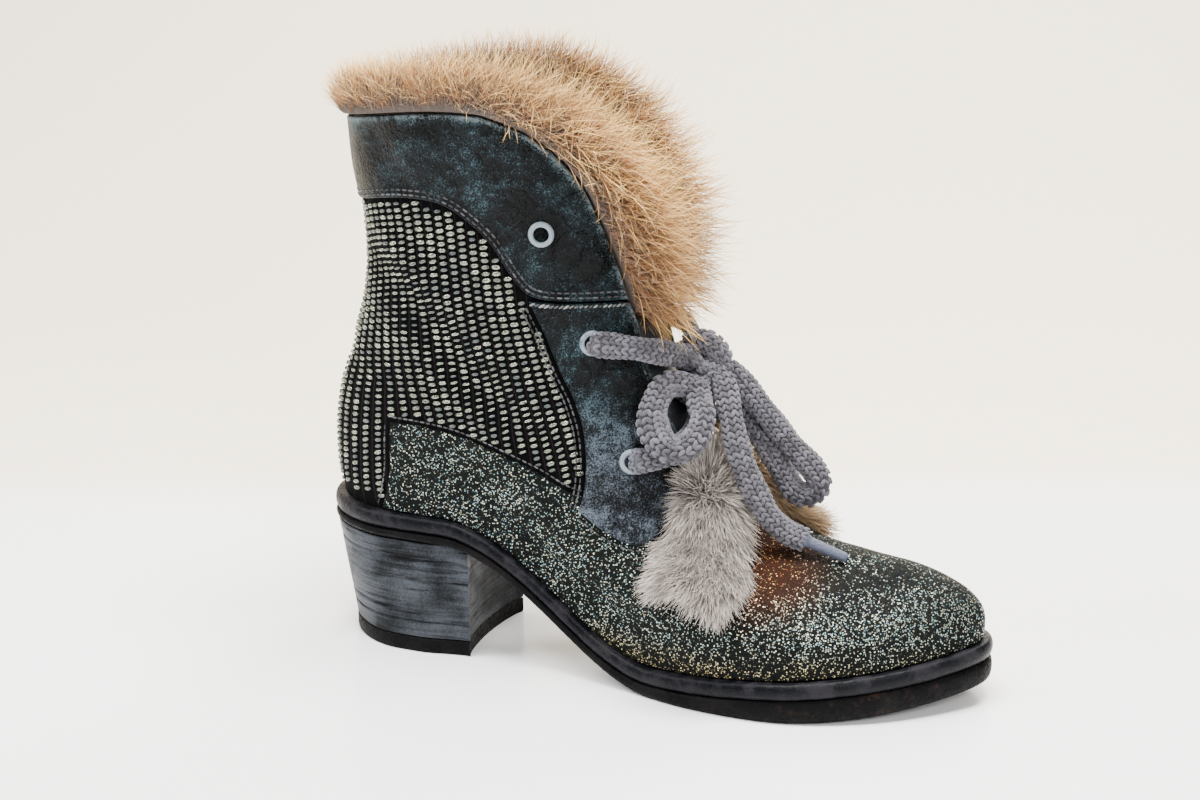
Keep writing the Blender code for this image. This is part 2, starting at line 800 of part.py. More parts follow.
def add_fur_collar(surface, collection):
    """Fur roll over the collar's edge, with a lock drawn out of every face of its outer side."""
    stations = collar_path()
    points = [loop_point(level, angle) for level, angle in stations]
    normals = [surface_normal(level, angle) for level, angle in stations]
    lengths = np.cumsum([0.0] + [float(np.linalg.norm(b - a)) for a, b in zip(points, points[1:])])
    bm = bmesh.new()
    rows = []
    for i, (level, angle) in enumerate(stations):
        past, out = fur_frame(points, normals, i)
        share = 1.0 - abs(2.0 * lengths[i] / lengths[-1] - 1.0)
        reach = FUR_REACH * read_table(FUR_FORM, 1, share)
        depth = FUR_DEPTH * read_table(FUR_FORM, 2, share)
        inside = FUR_REACH * read_table(FUR_FORM, 3, share)
        lean = past + np.array((read_table(FUR_FORM, 4, share), 0.0, 0.0))
        lean = lean / np.linalg.norm(lean)
        lining = out * -(WALL + 2 * GAP)
        rim = points[i] + past * FUR_CLEARANCE
        hem = points[i] - past * inside + lining
        section = [rim + lining, rim + out * (OVERLAY + depth * FUR_LIP)]
        for beyond, outward in FUR_SECTION:
            section.append(rim + lean * (beyond * reach) + out * (outward * depth))
        section += [hem - out * (depth * FUR_HEM), hem]
        if level < 1.0:
            side = -1.0 if angle > 0 else 1.0
            for point in section:
                point[1] = side * max(side * point[1], GAP)
        rows.append([bm.verts.new(point) for point in section])
    count = len(rows[0])
    outer = []
    for low, high in zip(rows, rows[1:]):
        for j in range(count):
            k = (j + 1) % count
            face = bm.faces.new((low[j], low[k], high[k], high[j]))
            if 1 <= j < len(FUR_SECTION):
                outer.append(face)
    bm.faces.new(rows[0][::-1])
    bm.faces.new(rows[-1])
    bmesh.ops.recalc_face_normals(bm, faces=bm.faces)
    bmesh.ops.poke(bm, faces=outer, offset=LOCK_LENGTH)
    return add_object("fur_collar", bm, surface, collection)


def lace_place(point):
    """Place on the boot of a point of the lace's tables."""
    place, across, up = point
    return np.array((along(place), across * SHAFT_HALF, height_up(up)))


def smooth_route(points, steps):
    """Catmull-Rom curve through a route's points."""
    rows = [np.array(point) for point in points]
    rows = [2 * rows[0] - rows[1]] + rows + [2 * rows[-1] - rows[-2]]
    route = []
    for i in range(1, len(rows) - 2):
        before, start, end, after = rows[i - 1:i + 3]
        for j in range(steps):
            t = j / steps
            route.append(0.5 * (
                2 * start + (end - before) * t
                + (2 * before - 5 * start + 4 * end - after) * t ** 2
                + (3 * start - before - 3 * end + after) * t ** 3
            ))
    route.append(rows[-2])
    return route


def add_flap(name, rows, side, surface, collection):
    """Hanging tuft: oval sections along its centre line on the upper, with locks drawn out."""
    stations = smooth_route(rows, 2)
    lines = []
    for level, angle, _, thickness in stations:
        turn = -side * math.radians(angle)
        normal = surface_normal(level, turn)
        lift = FUR_SEAT + thickness * FLAP_DEPTH / 2.0
        lines.append((loop_point(level, turn) + normal * lift, normal))
    bm = bmesh.new()
    rings = []
    for i, (centre, out) in enumerate(lines):
        tangent = lines[min(i + 1, len(lines) - 1)][0] - lines[max(i - 1, 0)][0]
        tangent = tangent / np.linalg.norm(tangent)
        across = np.cross(tangent, out)
        across = across / np.linalg.norm(across)
        out = np.cross(across, tangent)
        half_width = stations[i][2] * FLAP_WIDTH / 2.0
        half_depth = stations[i][3] * FLAP_DEPTH / 2.0
        ring = []
        for j in range(ROUND_STEPS):
            turn = 2.0 * math.pi * j / ROUND_STEPS
            point = centre + across * (half_width * math.cos(turn))
            point = point + out * (half_depth * math.sin(turn))
            ring.append(bm.verts.new(point))
        rings.append(ring)
    outer = []
    for low, high in zip(rings, rings[1:]):
        for j in range(ROUND_STEPS):
            k = (j + 1) % ROUND_STEPS
            face = bm.faces.new((low[j], low[k], high[k], high[j]))
            if j < ROUND_STEPS // 2:
                outer.append(face)
    bm.faces.new(rings[0][::-1])
    bm.faces.new(rings[-1])
    bmesh.ops.recalc_face_normals(bm, faces=bm.faces)
    bmesh.ops.poke(bm, faces=outer, offset=LOCK_LENGTH / 2.0)
    return add_object(name, bm, surface, collection)


def add_tongue(surface, collection):
    """Padded tongue behind the throat: it lies against the inside of the upper."""
    levels = np.linspace(TONGUE_FORM[0][0], TONGUE_FORM[-1][0], TONGUE_ROWS)
    bm = bmesh.new()
    skins = []
    seat = WALL + TONGUE_CLEARANCE
    for depth in (seat, seat + TONGUE_THICKNESS):
        skin = []
        for level in levels:
            spread = math.radians(read_table(TONGUE_FORM, 1, level))
            row = []
            for i in range(TONGUE_COLUMNS):
                angle = math.pi - spread + 2.0 * spread * i / (TONGUE_COLUMNS - 1)
                point = loop_point(level, angle) - surface_normal(level, angle) * depth
                row.append(bm.verts.new(point))
            skin.append(row)
        skins.append(skin)
    outer, inner = skins
    for i in range(TONGUE_ROWS - 1):
        for j in range(TONGUE_COLUMNS - 1):
            bm.faces.new((outer[i][j], outer[i][j + 1], outer[i + 1][j + 1], outer[i + 1][j]))
            bm.faces.new((inner[i][j], inner[i + 1][j], inner[i + 1][j + 1], inner[i][j + 1]))
    rims = []
    for skin in skins:
        rim = skin[0] + [row[-1] for row in skin[1:]] + skin[-1][-2::-1]
        rims.append(rim + [row[0] for row in skin[-2:0:-1]])
    for i in range(len(rims[0])):
        j = (i + 1) % len(rims[0])
        bm.faces.new((rims[0][i], rims[1][i], rims[1][j], rims[0][j]))
    return add_object("tongue", bm, surface, collection)


def lace_route(points, back=0.0):
    """Smooth route through points of the lace's tables, set back to keep clear of one that it crosses."""
    set_back = np.array((back, 0.0, 0.0))
    return smooth_route([lace_place(point) - set_back for point in points], 2)


def add_cord(name, route, radius, surface, collection):
    """Round cord along a route, with closed ends."""
    curve = bpy.data.curves.new(name, "CURVE")
    curve.dimensions = "3D"
    curve.bevel_depth = radius * MM
    curve.bevel_resolution = 2
    curve.use_fill_caps = True
    spline = curve.splines.new("POLY")
    spline.points.add(len(route) - 1)
    for point, place in zip(spline.points, route):
        point.co = (*(np.array(place) * MM), 1.0)
    curve.materials.append(surface)
    made = bpy.data.objects.new(name, curve)
    collection.objects.link(made)
    return made


def add_lace_tip(name, points, surface, collection):
    """Bound tip that carries on from the end of a lace."""
    end = lace_place(points[-1])
    way = end - lace_place(points[-2])
    way = way / np.linalg.norm(way)
    return add_cord(
        name, [end + way * GAP, end + way * (GAP + TIP_LENGTH)], TIP_RADIUS, surface, collection)


def floor_facets(x):
    """Height of the sole's underside as its facets have it, on the lower of its two sides."""
    heights = []
    for side in (-1, 1):
        turns = [side * math.pi * i / HALF_POINTS for i in range(HALF_POINTS + 1)]
        places = np.array([sole_edge(turn, OUTSOLE_RIM)[0] for turn in turns])
        heights.append(np.interp(x, places, floor_line(places)))
    return float(min(heights))


def mesh_copy(made, name, collection):
    """Mesh object made from a curve, which is removed."""
    graph = bpy.context.evaluated_depsgraph_get()
    mesh = bpy.data.meshes.new_from_object(made.evaluated_get(graph))
    bm = bmesh.new()
    bm.from_mesh(mesh)
    bmesh.ops.remove_doubles(bm, verts=bm.verts, dist=0.01 * MM)
    bmesh.ops.recalc_face_normals(bm, faces=bm.faces)
    bm.to_mesh(mesh)
    bm.free()
    copy = bpy.data.objects.new(name, mesh)
    copy.matrix_world = made.matrix_world
    collection.objects.link(copy)
    bpy.data.objects.remove(made)
    return copy


def mirrored(points):
    """Points of the lace's tables carried to the other side."""
    return [(place, -across, up) for place, across, up in points]


def add_lacing(surface, collection, cutters):
    """The crossing over the throat, and the two bars that pull in to the knot."""
    first = add_cord("crossing_first", lace_route(LACE_CROSSING), LACE_RADIUS, surface, cutters)
    route = lace_route(mirrored(LACE_CROSSING), GAP)
    second = add_cord("crossing_second", route, LACE_RADIUS, surface, cutters)
    crossing = mesh_copy(first, "lace_crossing", collection)
    other = mesh_copy(second, "crossing_other", cutters)
    other.hide_render = True
    other.display_type = "WIRE"
    cut_with(crossing, other, "UNION")
    add_cord("lace_bar_lateral", lace_route(LACE_BAR), LACE_RADIUS, surface, collection)
    add_cord("lace_bar_medial", lace_route(mirrored(LACE_BAR)), LACE_RADIUS, surface, collection)
    bm = bmesh.new()
    bmesh.ops.create_uvsphere(bm, u_segments=12, v_segments=8, radius=KNOT_RADIUS)
    bmesh.ops.scale(bm, vec=KNOT_FORM, verts=bm.verts)
    bmesh.ops.translate(bm, vec=lace_place(KNOT_PLACE), verts=bm.verts)
    add_object("lace_knot", bm, surface, collection)


def clear_scene():
    for made in list(bpy.data.objects):
        bpy.data.objects.remove(made, do_unlink=True)


def build():
    clear_scene()
    boot = bpy.data.collections.new("ankle_boot")
    cutters = bpy.data.collections.new("cutters")
    bpy.context.scene.collection.children.link(boot)
    bpy.context.scene.collection.children.link(cutters)
    rubber = material("sole rubber", (0.03, 0.028, 0.03), 0.6)
    welt_leather = material("welt leather", (0.02, 0.022, 0.035), 0.45)
    stack = material("stacked heel", (0.035, 0.042, 0.055), 0.5)
    leather = material("upper leather", (0.03, 0.035, 0.035), 0.4)
    crackled = material("crackled leather", (0.05, 0.08, 0.09), 0.5)
    lining = material("insole leather", (0.25, 0.2, 0.15), 0.7)
    metal = material("eyelet metal", (0.55, 0.6, 0.65), 0.3, 0.9)
    fur = material("fur", (0.45, 0.32, 0.2), 0.9)
    pale_fur = material("pale fur", (0.5, 0.46, 0.42), 0.9)
    knit = material("lace knit", (0.12, 0.11, 0.14), 0.9)
    binding = material("lace tip", (0.14, 0.15, 0.19), 0.6)

    add_outsole(rubber, boot)
    add_welt(welt_leather, boot)
    add_heel(stack, boot)
    add_top_lift(rubber, boot)
    add_insole(lining, boot)
    upper = add_upper(leather, boot)
    past = BALL_WIDTH
    yoke_outline = YOKE_LINE + ((0.70, 0.70), (0.70, 1.30), (-0.07, 1.30))
    leathers = [upper]
    leathers.append(add_overlay(
        "collar_yoke", yoke_outline, -past, past, crackled, boot, cutters))
    leathers.append(add_overlay(
        "lace_facing_lateral", TAB_LINE, -past, 0.0, crackled, boot, cutters))
    leathers.append(add_overlay(
        "lace_facing_medial", TAB_LINE, 0.0, past, crackled, boot, cutters))
    for hole in add_eyelet_holes(cutters):
        for made in leathers:
            if hole_meets(hole, made):
                cut_with(made, hole, "DIFFERENCE")
    for name, place, up in EYELETS:
        add_eyelet(f"eyelet_{name}_lateral", place, up, -1.0, metal, boot)
        add_eyelet(f"eyelet_{name}_medial", place, up, 1.0, metal, boot)
    add_tongue(lining, boot)
    add_fur_collar(fur, boot)
    add_flap("fur_flap_lateral", OUTER_FLAP, -1.0, pale_fur, boot)
    add_flap("fur_flap_medial", INNER_FLAP, 1.0, fur, boot)
    add_lacing(knit, boot, cutters)
    add_cord("lace_loop_lateral", lace_route(OUTER_LOOP), LACE_RADIUS, knit, boot)
    add_cord("lace_loop_medial", lace_route(INNER_LOOP), LACE_RADIUS, knit, boot)
    add_cord("lace_end_lateral", lace_route(OUTER_END), LACE_RADIUS, knit, boot)
    add_cord("lace_end_medial", lace_route(INNER_END), LACE_RADIUS, knit, boot)
    add_lace_tip("lace_tip_lateral", OUTER_END, binding, boot)
    add_lace_tip("lace_tip_medial", INNER_END, binding, boot)


def hole_meets(hole, made):
    """Whether a hole's cutter passes through a piece of leather."""
    if made.name == "upper":
        return True
    if "top" in hole.name:
        return made.name == "collar_yoke"
    return made.name == ("lace_facing_medial" if hole.location.y > 0 else "lace_facing_lateral")


build()
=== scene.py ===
"""Right ankle boot for a woman: the finish of every surface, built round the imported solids.

Sizes are in millimetres and are turned into metres as each mesh is made. X runs from heel to toe,
Y to the inner (medial) side and Z up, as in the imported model. The image is taken as 1200 by 800.
"""

import math

import bmesh
import bpy
import numpy as np
from mathutils import Matrix, Vector


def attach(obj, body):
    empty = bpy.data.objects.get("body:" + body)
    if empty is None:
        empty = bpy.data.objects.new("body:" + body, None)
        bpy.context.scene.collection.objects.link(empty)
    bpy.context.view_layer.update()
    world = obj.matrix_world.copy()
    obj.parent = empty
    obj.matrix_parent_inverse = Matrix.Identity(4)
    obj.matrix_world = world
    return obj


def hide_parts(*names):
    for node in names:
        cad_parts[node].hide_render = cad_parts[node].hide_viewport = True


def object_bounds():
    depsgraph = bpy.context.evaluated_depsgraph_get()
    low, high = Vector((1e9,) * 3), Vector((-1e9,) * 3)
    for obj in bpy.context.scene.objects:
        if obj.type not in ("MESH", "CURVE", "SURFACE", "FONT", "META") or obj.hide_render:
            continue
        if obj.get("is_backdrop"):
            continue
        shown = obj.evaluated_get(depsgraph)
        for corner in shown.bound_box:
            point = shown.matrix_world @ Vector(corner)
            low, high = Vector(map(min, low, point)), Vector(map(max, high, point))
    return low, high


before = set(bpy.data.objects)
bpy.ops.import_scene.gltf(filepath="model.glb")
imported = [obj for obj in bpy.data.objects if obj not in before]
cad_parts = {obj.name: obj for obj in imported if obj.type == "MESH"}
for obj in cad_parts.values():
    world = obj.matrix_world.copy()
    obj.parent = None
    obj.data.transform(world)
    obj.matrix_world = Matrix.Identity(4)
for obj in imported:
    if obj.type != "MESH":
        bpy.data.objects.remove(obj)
cad_low, cad_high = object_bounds()
MM = 0.001
for startup in ("Cube", "Light", "Camera"):
    if startup in bpy.data.objects:
        bpy.data.objects.remove(bpy.data.objects[startup], do_unlink=True)

# Camera
# A 72 mm lens looks at the outer side of the boot from in front and above. The corner of the
# heel on the floor ties the view to the photograph.
IMAGE_WIDTH, IMAGE_HEIGHT = 1200.0, 800.0
LENS, SENSOR = 72.0, 36.0
CAMERA_TURN = math.radians(21.9)
CAMERA_DIP = math.radians(16.4)
CAMERA_ROLL = math.radians(-0.4)
CAMERA_DEPTH = 921.4
HEEL_CORNER = Vector((26.0, -27.5, 0.0))
HEEL_CORNER_PIXEL = (470.0, 657.0)

focal = LENS / SENSOR * IMAGE_WIDTH
view_way = Vector((
    -math.sin(CAMERA_TURN) * math.cos(CAMERA_DIP),
    math.cos(CAMERA_TURN) * math.cos(CAMERA_DIP),
    -math.sin(CAMERA_DIP),
))
level_right = Vector((math.cos(CAMERA_TURN), math.sin(CAMERA_TURN), 0.0))
level_up = level_right.cross(view_way)
right = level_right * math.cos(CAMERA_ROLL) + level_up * math.sin(CAMERA_ROLL)
up = level_up * math.cos(CAMERA_ROLL) - level_right * math.sin(CAMERA_ROLL)
across = (HEEL_CORNER_PIXEL[0] - IMAGE_WIDTH / 2.0) / focal
above = (IMAGE_HEIGHT / 2.0 - HEEL_CORNER_PIXEL[1]) / focal
eye = HEEL_CORNER - CAMERA_DEPTH * (view_way + across * right + above * up)
lens = bpy.data.cameras.new("camera")
lens.lens = LENS
lens.sensor_width = SENSOR
camera = bpy.data.objects.new("camera", lens)
camera.matrix_world = Matrix((
    (right.x, up.x, -view_way.x, eye.x * MM),
    (right.y, up.y, -view_way.y, eye.y * MM),
    (right.z, up.z, -view_way.z, eye.z * MM),
    (0.0, 0.0, 0.0, 1.0),
))
bpy.context.scene.collection.objects.link(camera)
bpy.context.scene.camera = camera


# Studio
# A plain pale sweep: a glossy floor that turns up into a wall behind the boot, under large soft
# lamps. The material helpers come here, because the floor is the first thing that needs them.
class Shade:
    """A number or a colour inside a material, so that shader maths reads as arithmetic."""

    def __init__(self, recipe, socket):
        self.recipe = recipe
        self.socket = socket

    def sum(self, operation, *others):
        values = dict(enumerate((self, *others)))
        return self.recipe.node("ShaderNodeMath", {"operation": operation}, values)

    def __add__(self, other):
        return self.sum("ADD", other)

    def __mul__(self, other):
        return self.sum("MULTIPLY", other)

    def __sub__(self, other):
        return self.sum("SUBTRACT", other)

    def __rsub__(self, other):
        return (self * -1.0).sum("ADD", other)

    def __pow__(self, other):
        return self.sum("POWER", other)

    __radd__ = __add__
    __rmul__ = __mul__


class Finish:
    """One material: a Principled shader and what feeds it."""

    def __init__(self, name, colour=(0.5, 0.5, 0.5), roughness=0.5, **settings):
        self.material = bpy.data.materials.new(name)
        self.material.use_nodes = True
        self.tree = self.material.node_tree
        self.shader = self.tree.nodes["Principled BSDF"]
        self.feed("Base Color", (*colour, 1.0))
        self.feed("Roughness", roughness)
        for socket, value in settings.items():
            self.feed(socket.replace("_", " ").title().replace("Ior", "IOR"), value)
        self.place = self.node("ShaderNodeTexCoord", output="Object")

    def feed(self, socket, value, shader=None):
        target = (shader or self.shader).inputs[socket]
        if isinstance(value, Shade):
            self.tree.links.new(value.socket, target)
        else:
            target.default_value = value

    def node(self, kind, settings=None, values=None, output=0):
        made = self.tree.nodes.new(kind)
        for name, value in (settings or {}).items():
            if name == "stops":
                ramp = made.color_ramp
                while len(ramp.elements) < len(value):
                    ramp.elements.new(0.5)
                for element, (place, colour) in zip(ramp.elements, value):
                    element.position = place
                    element.color = (*colour, 1.0)
            else:
                setattr(made, name, value)
        for socket, value in (values or {}).items():
            self.feed(socket, value, made)
        return Shade(self, made.outputs[output])

    def stretched(self, scale, turn=(0.0, 0.0, 0.0)):
        values = {"Vector": self.place, "Scale": scale, "Rotation": turn}
        return self.node("ShaderNodeMapping", None, values)

    def noise(self, size, detail=3.0, rough=0.55, place=None, output="Fac"):
        """Noise whose features are about size millimetres across."""
        values = {"Vector": place or self.place, "Scale": 1.0 / (size * MM)}
        values.update({"Detail": detail, "Roughness": rough})
        return self.node("ShaderNodeTexNoise", None, values, output)

    def cells(self, size, place, feature="F1", output="Distance"):
        """Cells about size millimetres across."""
        values = {"Vector": place, "Scale": 1.0 / (size * MM)}
        return self.node("ShaderNodeTexVoronoi", {"feature": feature}, values, output)

    def coordinate(self, axis, vector=None):
        """One coordinate of a vector, or of the place on the boot, in metres."""
        return self.node("ShaderNodeSeparateXYZ", None, {"Vector": vector or self.place}, axis)

    def vector(self, operation, first, second, output=0):
        return self.node("ShaderNodeVectorMath", {"operation": operation}, {0: first, 1: second}, output)

    def scaled(self, vector, amount):
        return self.node("ShaderNodeVectorMath", {"operation": "SCALE"}, {0: vector, "Scale": amount})

    def shaken(self, reach, *noise_form):
        """The place on the boot, moved about by noise."""
        return self.vector("ADD", self.place, self.scaled(self.noise(*noise_form, output="Color"), reach))

    def ease(self, value, low, high, start=0.0, end=1.0):
        """Smooth step of a value from start at low to end at high."""
        values = {"Value": value, "From Min": low, "From Max": high, "To Min": start, "To Max": end}
        return self.node("ShaderNodeMapRange", {"interpolation_type": "SMOOTHSTEP"}, values)

    def mix(self, first, second, share):
        values = {"Factor": share}
        made = self.node("ShaderNodeMix", {"data_type": "RGBA"}, values, 2)
        mixer = made.socket.node
        for index, value in ((6, first), (7, second)):
            if isinstance(value, Shade):
                self.tree.links.new(value.socket, mixer.inputs[index])
            else:
                mixer.inputs[index].default_value = (*value, 1.0)
        return made

    def bump(self, height, depth, strength=1.0, under=None):
        """Normal from a height between 0 and 1 that stands for depth millimetres."""
        values = {"Height": height, "Distance": depth * MM, "Strength": strength}
        if under is not None:
            values["Normal"] = under
        return self.node("ShaderNodeBump", None, values)

    def attribute(self, name):
        return self.node("ShaderNodeAttribute", {"attribute_name": name}, None, "Fac")


def link_object(name, mesh, finishes=()):
    """Object of a mesh, with its finishes in slot order."""
    for finish in finishes:
        mesh.materials.append(finish.material)
    made = bpy.data.objects.new(name, mesh)
    bpy.context.scene.collection.objects.link(made)
    return made


def grid_faces(rows, columns, wrap=False, start=0):
    """Corner numbers of the quads between rows of points."""
    low = np.arange(rows - 1)[:, None] * columns
    near = np.arange(columns if wrap else columns - 1)[None, :]
    far = (near + 1) % columns
    quads = np.stack([low + near, low + far, low + columns + far, low + columns + near], axis=-1)
    return quads.reshape(-1, 4) + start


def make_mesh(name, points, faces, smooth=True, numbers=None):
    """Mesh from points in millimetres and quads, with numbers kept per point."""
    mesh = bpy.data.meshes.new(name)
    points = np.asarray(points, float).reshape(-1, 3)
    mesh.vertices.add(len(points))
    mesh.vertices.foreach_set("co", (points * MM).ravel())
    faces = np.asarray(faces, np.int32)
    mesh.loops.add(faces.size)
    mesh.loops.foreach_set("vertex_index", faces.ravel())
    mesh.polygons.add(len(faces))
    mesh.polygons.foreach_set("loop_start", np.arange(0, faces.size, faces.shape[1], dtype=np.int32))
    mesh.update(calc_edges=True)
    mesh.polygons.foreach_set("use_smooth", np.full(len(faces), smooth))
    for label, values in (numbers or {}).items():
        values = np.asarray(values, float)
        kind = "FLOAT_VECTOR" if values.ndim == 2 else "FLOAT"
        field = mesh.attributes.new(label, kind, "POINT")
        field.data.foreach_set("vector" if values.ndim == 2 else "value", values.ravel())
    return mesh


FLOOR_REACH = 3000.0
FLOOR_NEAR = -1400.0
SWEEP_START, SWEEP_RADIUS, WALL_HEIGHT = 480.0, 620.0, 2600.0
SWEEP_STEPS = 24

profile = [(FLOOR_NEAR, 0.0)]
for i in range(SWEEP_STEPS + 1):
    turn = math.pi / 2.0 * i / SWEEP_STEPS
    profile.append((
        SWEEP_START + SWEEP_RADIUS * math.sin(turn),
        SWEEP_RADIUS * (1.0 - math.cos(turn)),
    ))
profile.append((SWEEP_START + SWEEP_RADIUS, WALL_HEIGHT))
back = Vector((view_way.x, view_way.y)).normalized()
sweep = []
for reach, height in profile:
    for side in (-FLOOR_REACH, FLOOR_REACH):
        sweep.append((back.x * reach + back.y * side, back.y * reach - back.x * side, height))
floor_finish = Finish("studio floor", (0.80, 0.79, 0.775), 0.32, specular_ior_level=0.35)
behind = floor_finish.vector("DOT_PRODUCT", floor_finish.place, (back.x, back.y, 0.0), "Value")
far_off = floor_finish.ease(behind, 0.135, 0.20)
floor_finish.feed("Base Color", floor_finish.mix((0.95, 0.95, 0.96), (0.90, 0.82, 0.67), far_off))
floor_finish.feed("Roughness", far_off * 0.55 + 0.2)
floor = link_object("floor", make_mesh("floor", sweep, grid_faces(len(profile), 2)), [floor_finish])
floor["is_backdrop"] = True

world = bpy.data.worlds.new("studio air")
world.use_nodes = True
air = world.node_tree.nodes["Background"].inputs
air["Color"].default_value = (0.93, 0.95, 1.0, 1.0)
air["Strength"].default_value = 0.36
bpy.context.scene.world = world

LAMPS = (
    # name, place, width, height, power, colour
    ("top lamp", (160.0, -120.0, 1250.0), 900.0, 420.0, 58.0, (1.0, 0.985, 0.96)),
    ("left lamp", (-900.0, -500.0, 900.0), 500.0, 700.0, 20.0, (0.96, 0.98, 1.0)),
    ("front lamp", (900.0, -1000.0, 800.0), 400.0, 500.0, 18.0, (1.0, 0.99, 0.97)),
    ("rear lamp", (300.0, 900.0, 900.0), 700.0, 500.0, 18.0, (1.0, 0.98, 0.95)),
)
LAMP_AIM = Vector((80.0, 0.0, 90.0))
for name, place, width, tall, power, colour in LAMPS:
    lamp = bpy.data.lights.new(name, "AREA")
    lamp.shape = "RECTANGLE"
    lamp.size = width * MM
    lamp.size_y = tall * MM
    lamp.energy = power
    lamp.color = colour
    held = bpy.data.objects.new(name, lamp)
    held.location = Vector(place) * MM
    held.rotation_euler = (LAMP_AIM - Vector(place)).to_track_quat("-Z", "Y").to_euler()
    bpy.context.scene.collection.objects.link(held)


# Outsole
# A dark moulded rubber sole with a rounded edge. It is cemented under the welt and rises over the
# waist to meet the heel; its tread is scuffed brown towards the toe.
SOLE_LENGTH = 262.0
SOLE_BACK = -41.0
BALL_WIDTH = 91.0
HEEL_HEIGHT = 46.0
SEAT_DROP = 1.0
TOE_SPRING = 8.0
TOE_SWING = 4.0
OUTSOLE_HEIGHT = 8.5
WELT_HEIGHT = 6.5
WAIST_START, WAIST_END, SPRING_START = 0.215, 0.555, 0.74
GAP = 0.3
SOLE_OUTLINE = (
    # share of length, lateral, medial: half widths as shares of BALL_WIDTH
    (0.00, 0.310, 0.300),
    (0.12, 0.335, 0.325),
    (0.25, 0.345, 0.310),
    (0.38, 0.350, 0.275),
    (0.50, 0.410, 0.330),
    (0.62, 0.505, 0.430),
    (0.72, 0.530, 0.475),
    (0.82, 0.500, 0.465),
    (0.90, 0.450, 0.430),
    (1.00, 0.340, 0.390),
)
HEEL_ROUND, TOE_ROUND = 0.13, 0.28
SOLE_LAYERS = (
    # share of length, outsole, welt: shares of OUTSOLE_HEIGHT and WELT_HEIGHT
    (0.00, 0.35, 1.08),
    (0.30, 0.42, 0.95),
    (0.50, 0.50, 0.95),
    (0.62, 0.68, 1.00),
    (0.75, 1.00, 1.00),
    (1.00, 1.00, 1.12),
)
OUTSOLE_PROFILE = (
    # inset, share of the height
    (1.9, 0.00), (1.1, 0.05), (0.55, 0.15), (0.2, 0.30), (0.1, 0.46), (0.12, 0.62),
    (0.3, 0.80), (0.65, 0.92), (1.3, 1.00),
)
SOLE_STEPS = 240


def paint(red, green, blue):
    """Linear colour of a display tone from 0 to 255."""
    shares = (red / 255.0, green / 255.0, blue / 255.0)
    return tuple(s / 12.92 if s <= 0.04045 else ((s + 0.055) / 1.055) ** 2.4 for s in shares)


def along(share):
    return SOLE_BACK + share * SOLE_LENGTH


def smooth(value):
    """Eased step: 0 below 0, 1 above 1."""
    value = np.clip(value, 0.0, 1.0)
    return value * value * (3.0 - 2.0 * value)


def blend(low, high, share):
    return low + (high - low) * share


def read_table(table, column, value):
    """Smooth curve through one column of a table, at a value of its first column."""
    rows = np.array(table)
    places = rows[:, 0]
    heights = rows[:, column]
    value = np.clip(value, places[0], places[-1])
    slopes = np.gradient(heights, places)
    index = np.clip(np.searchsorted(places, value) - 1, 0, len(places) - 2)
    width = places[index + 1] - places[index]
    part = (value - places[index]) / width
    start = heights[index] * (1 + 2 * part) + slopes[index] * width * part
    end = heights[index + 1] * (3 - 2 * part) - slopes[index + 1] * width * (1 - part)
    return start * (1 - part) ** 2 + end * part ** 2


def unit(vectors):
    return vectors / np.linalg.norm(vectors, axis=-1, keepdims=True)


def rounded(distance, reach):
    """Quarter of an ellipse: 0 at the end of a form, 1 from reach on."""
    return np.sqrt(1.0 - (1.0 - np.clip(distance / reach, 0.0, 1.0)) ** 2)


def swing(share):
    """Sideways bend of the centre line, towards the inner side at the toe."""
    return TOE_SWING * np.clip((share - 0.55) / 0.45, 0.0, 1.0) ** 1.3


def half_width(share, side):
    """Half width of the sole's outline before its ends are rounded: side -1 is lateral."""
    lateral = read_table(SOLE_OUTLINE, 1, share)
    return np.where(side < 0, lateral, read_table(SOLE_OUTLINE, 2, share)) * BALL_WIDTH


def sole_turn(angle):
    """Point of the sole's outline: 0 at the heel, pi at the toe."""
    share = (1.0 - np.cos(angle)) / 2.0
    side = np.where(np.sin(angle) > 0, -1.0, 1.0)
    width = half_width(share, side) * rounded(share, HEEL_ROUND) * rounded(1.0 - share, TOE_ROUND)
    return np.stack([along(share), swing(share) + side * width], axis=-1)


def sole_edge(angle, inset):
    """Point of the sole's outline, moved in by inset."""
    angle = np.asarray(angle, float)
    tangent = unit(sole_turn(angle + 0.01) - sole_turn(angle - 0.01))
    inward = np.stack([-tangent[..., 1], tangent[..., 0]], axis=-1)
    return sole_turn(angle) + inward * inset


def floor_line(x):
    """Height of the sole's underside."""
    share = (x - SOLE_BACK) / SOLE_LENGTH
    waist = smooth((share - WAIST_START) / (WAIST_END - WAIST_START))
    spring = np.clip((share - SPRING_START) / (1.0 - SPRING_START), 0.0, None) ** 1.8
    seat = HEEL_HEIGHT - SEAT_DROP * np.clip(share / WAIST_START, 0.0, 1.0)
    return seat * (1.0 - waist) + TOE_SPRING * spring


def outsole_top(x):
    share = np.clip((x - SOLE_BACK) / SOLE_LENGTH, 0.0, 1.0)
    return floor_line(x) + OUTSOLE_HEIGHT * read_table(SOLE_LAYERS, 1, share)


def layer_rings(profile, low, high):
    """Rings round the sole between two of its surfaces, from a profile of insets and heights."""
    turn = np.linspace(0.0, 2.0 * math.pi, SOLE_STEPS, endpoint=False)
    rings = []
    for inset, share in profile:
        edge = sole_edge(turn, inset)
        height = blend(low(edge[:, 0]), high(edge[:, 0]), share)
        rings.append(np.column_stack([edge, height]))
    return rings


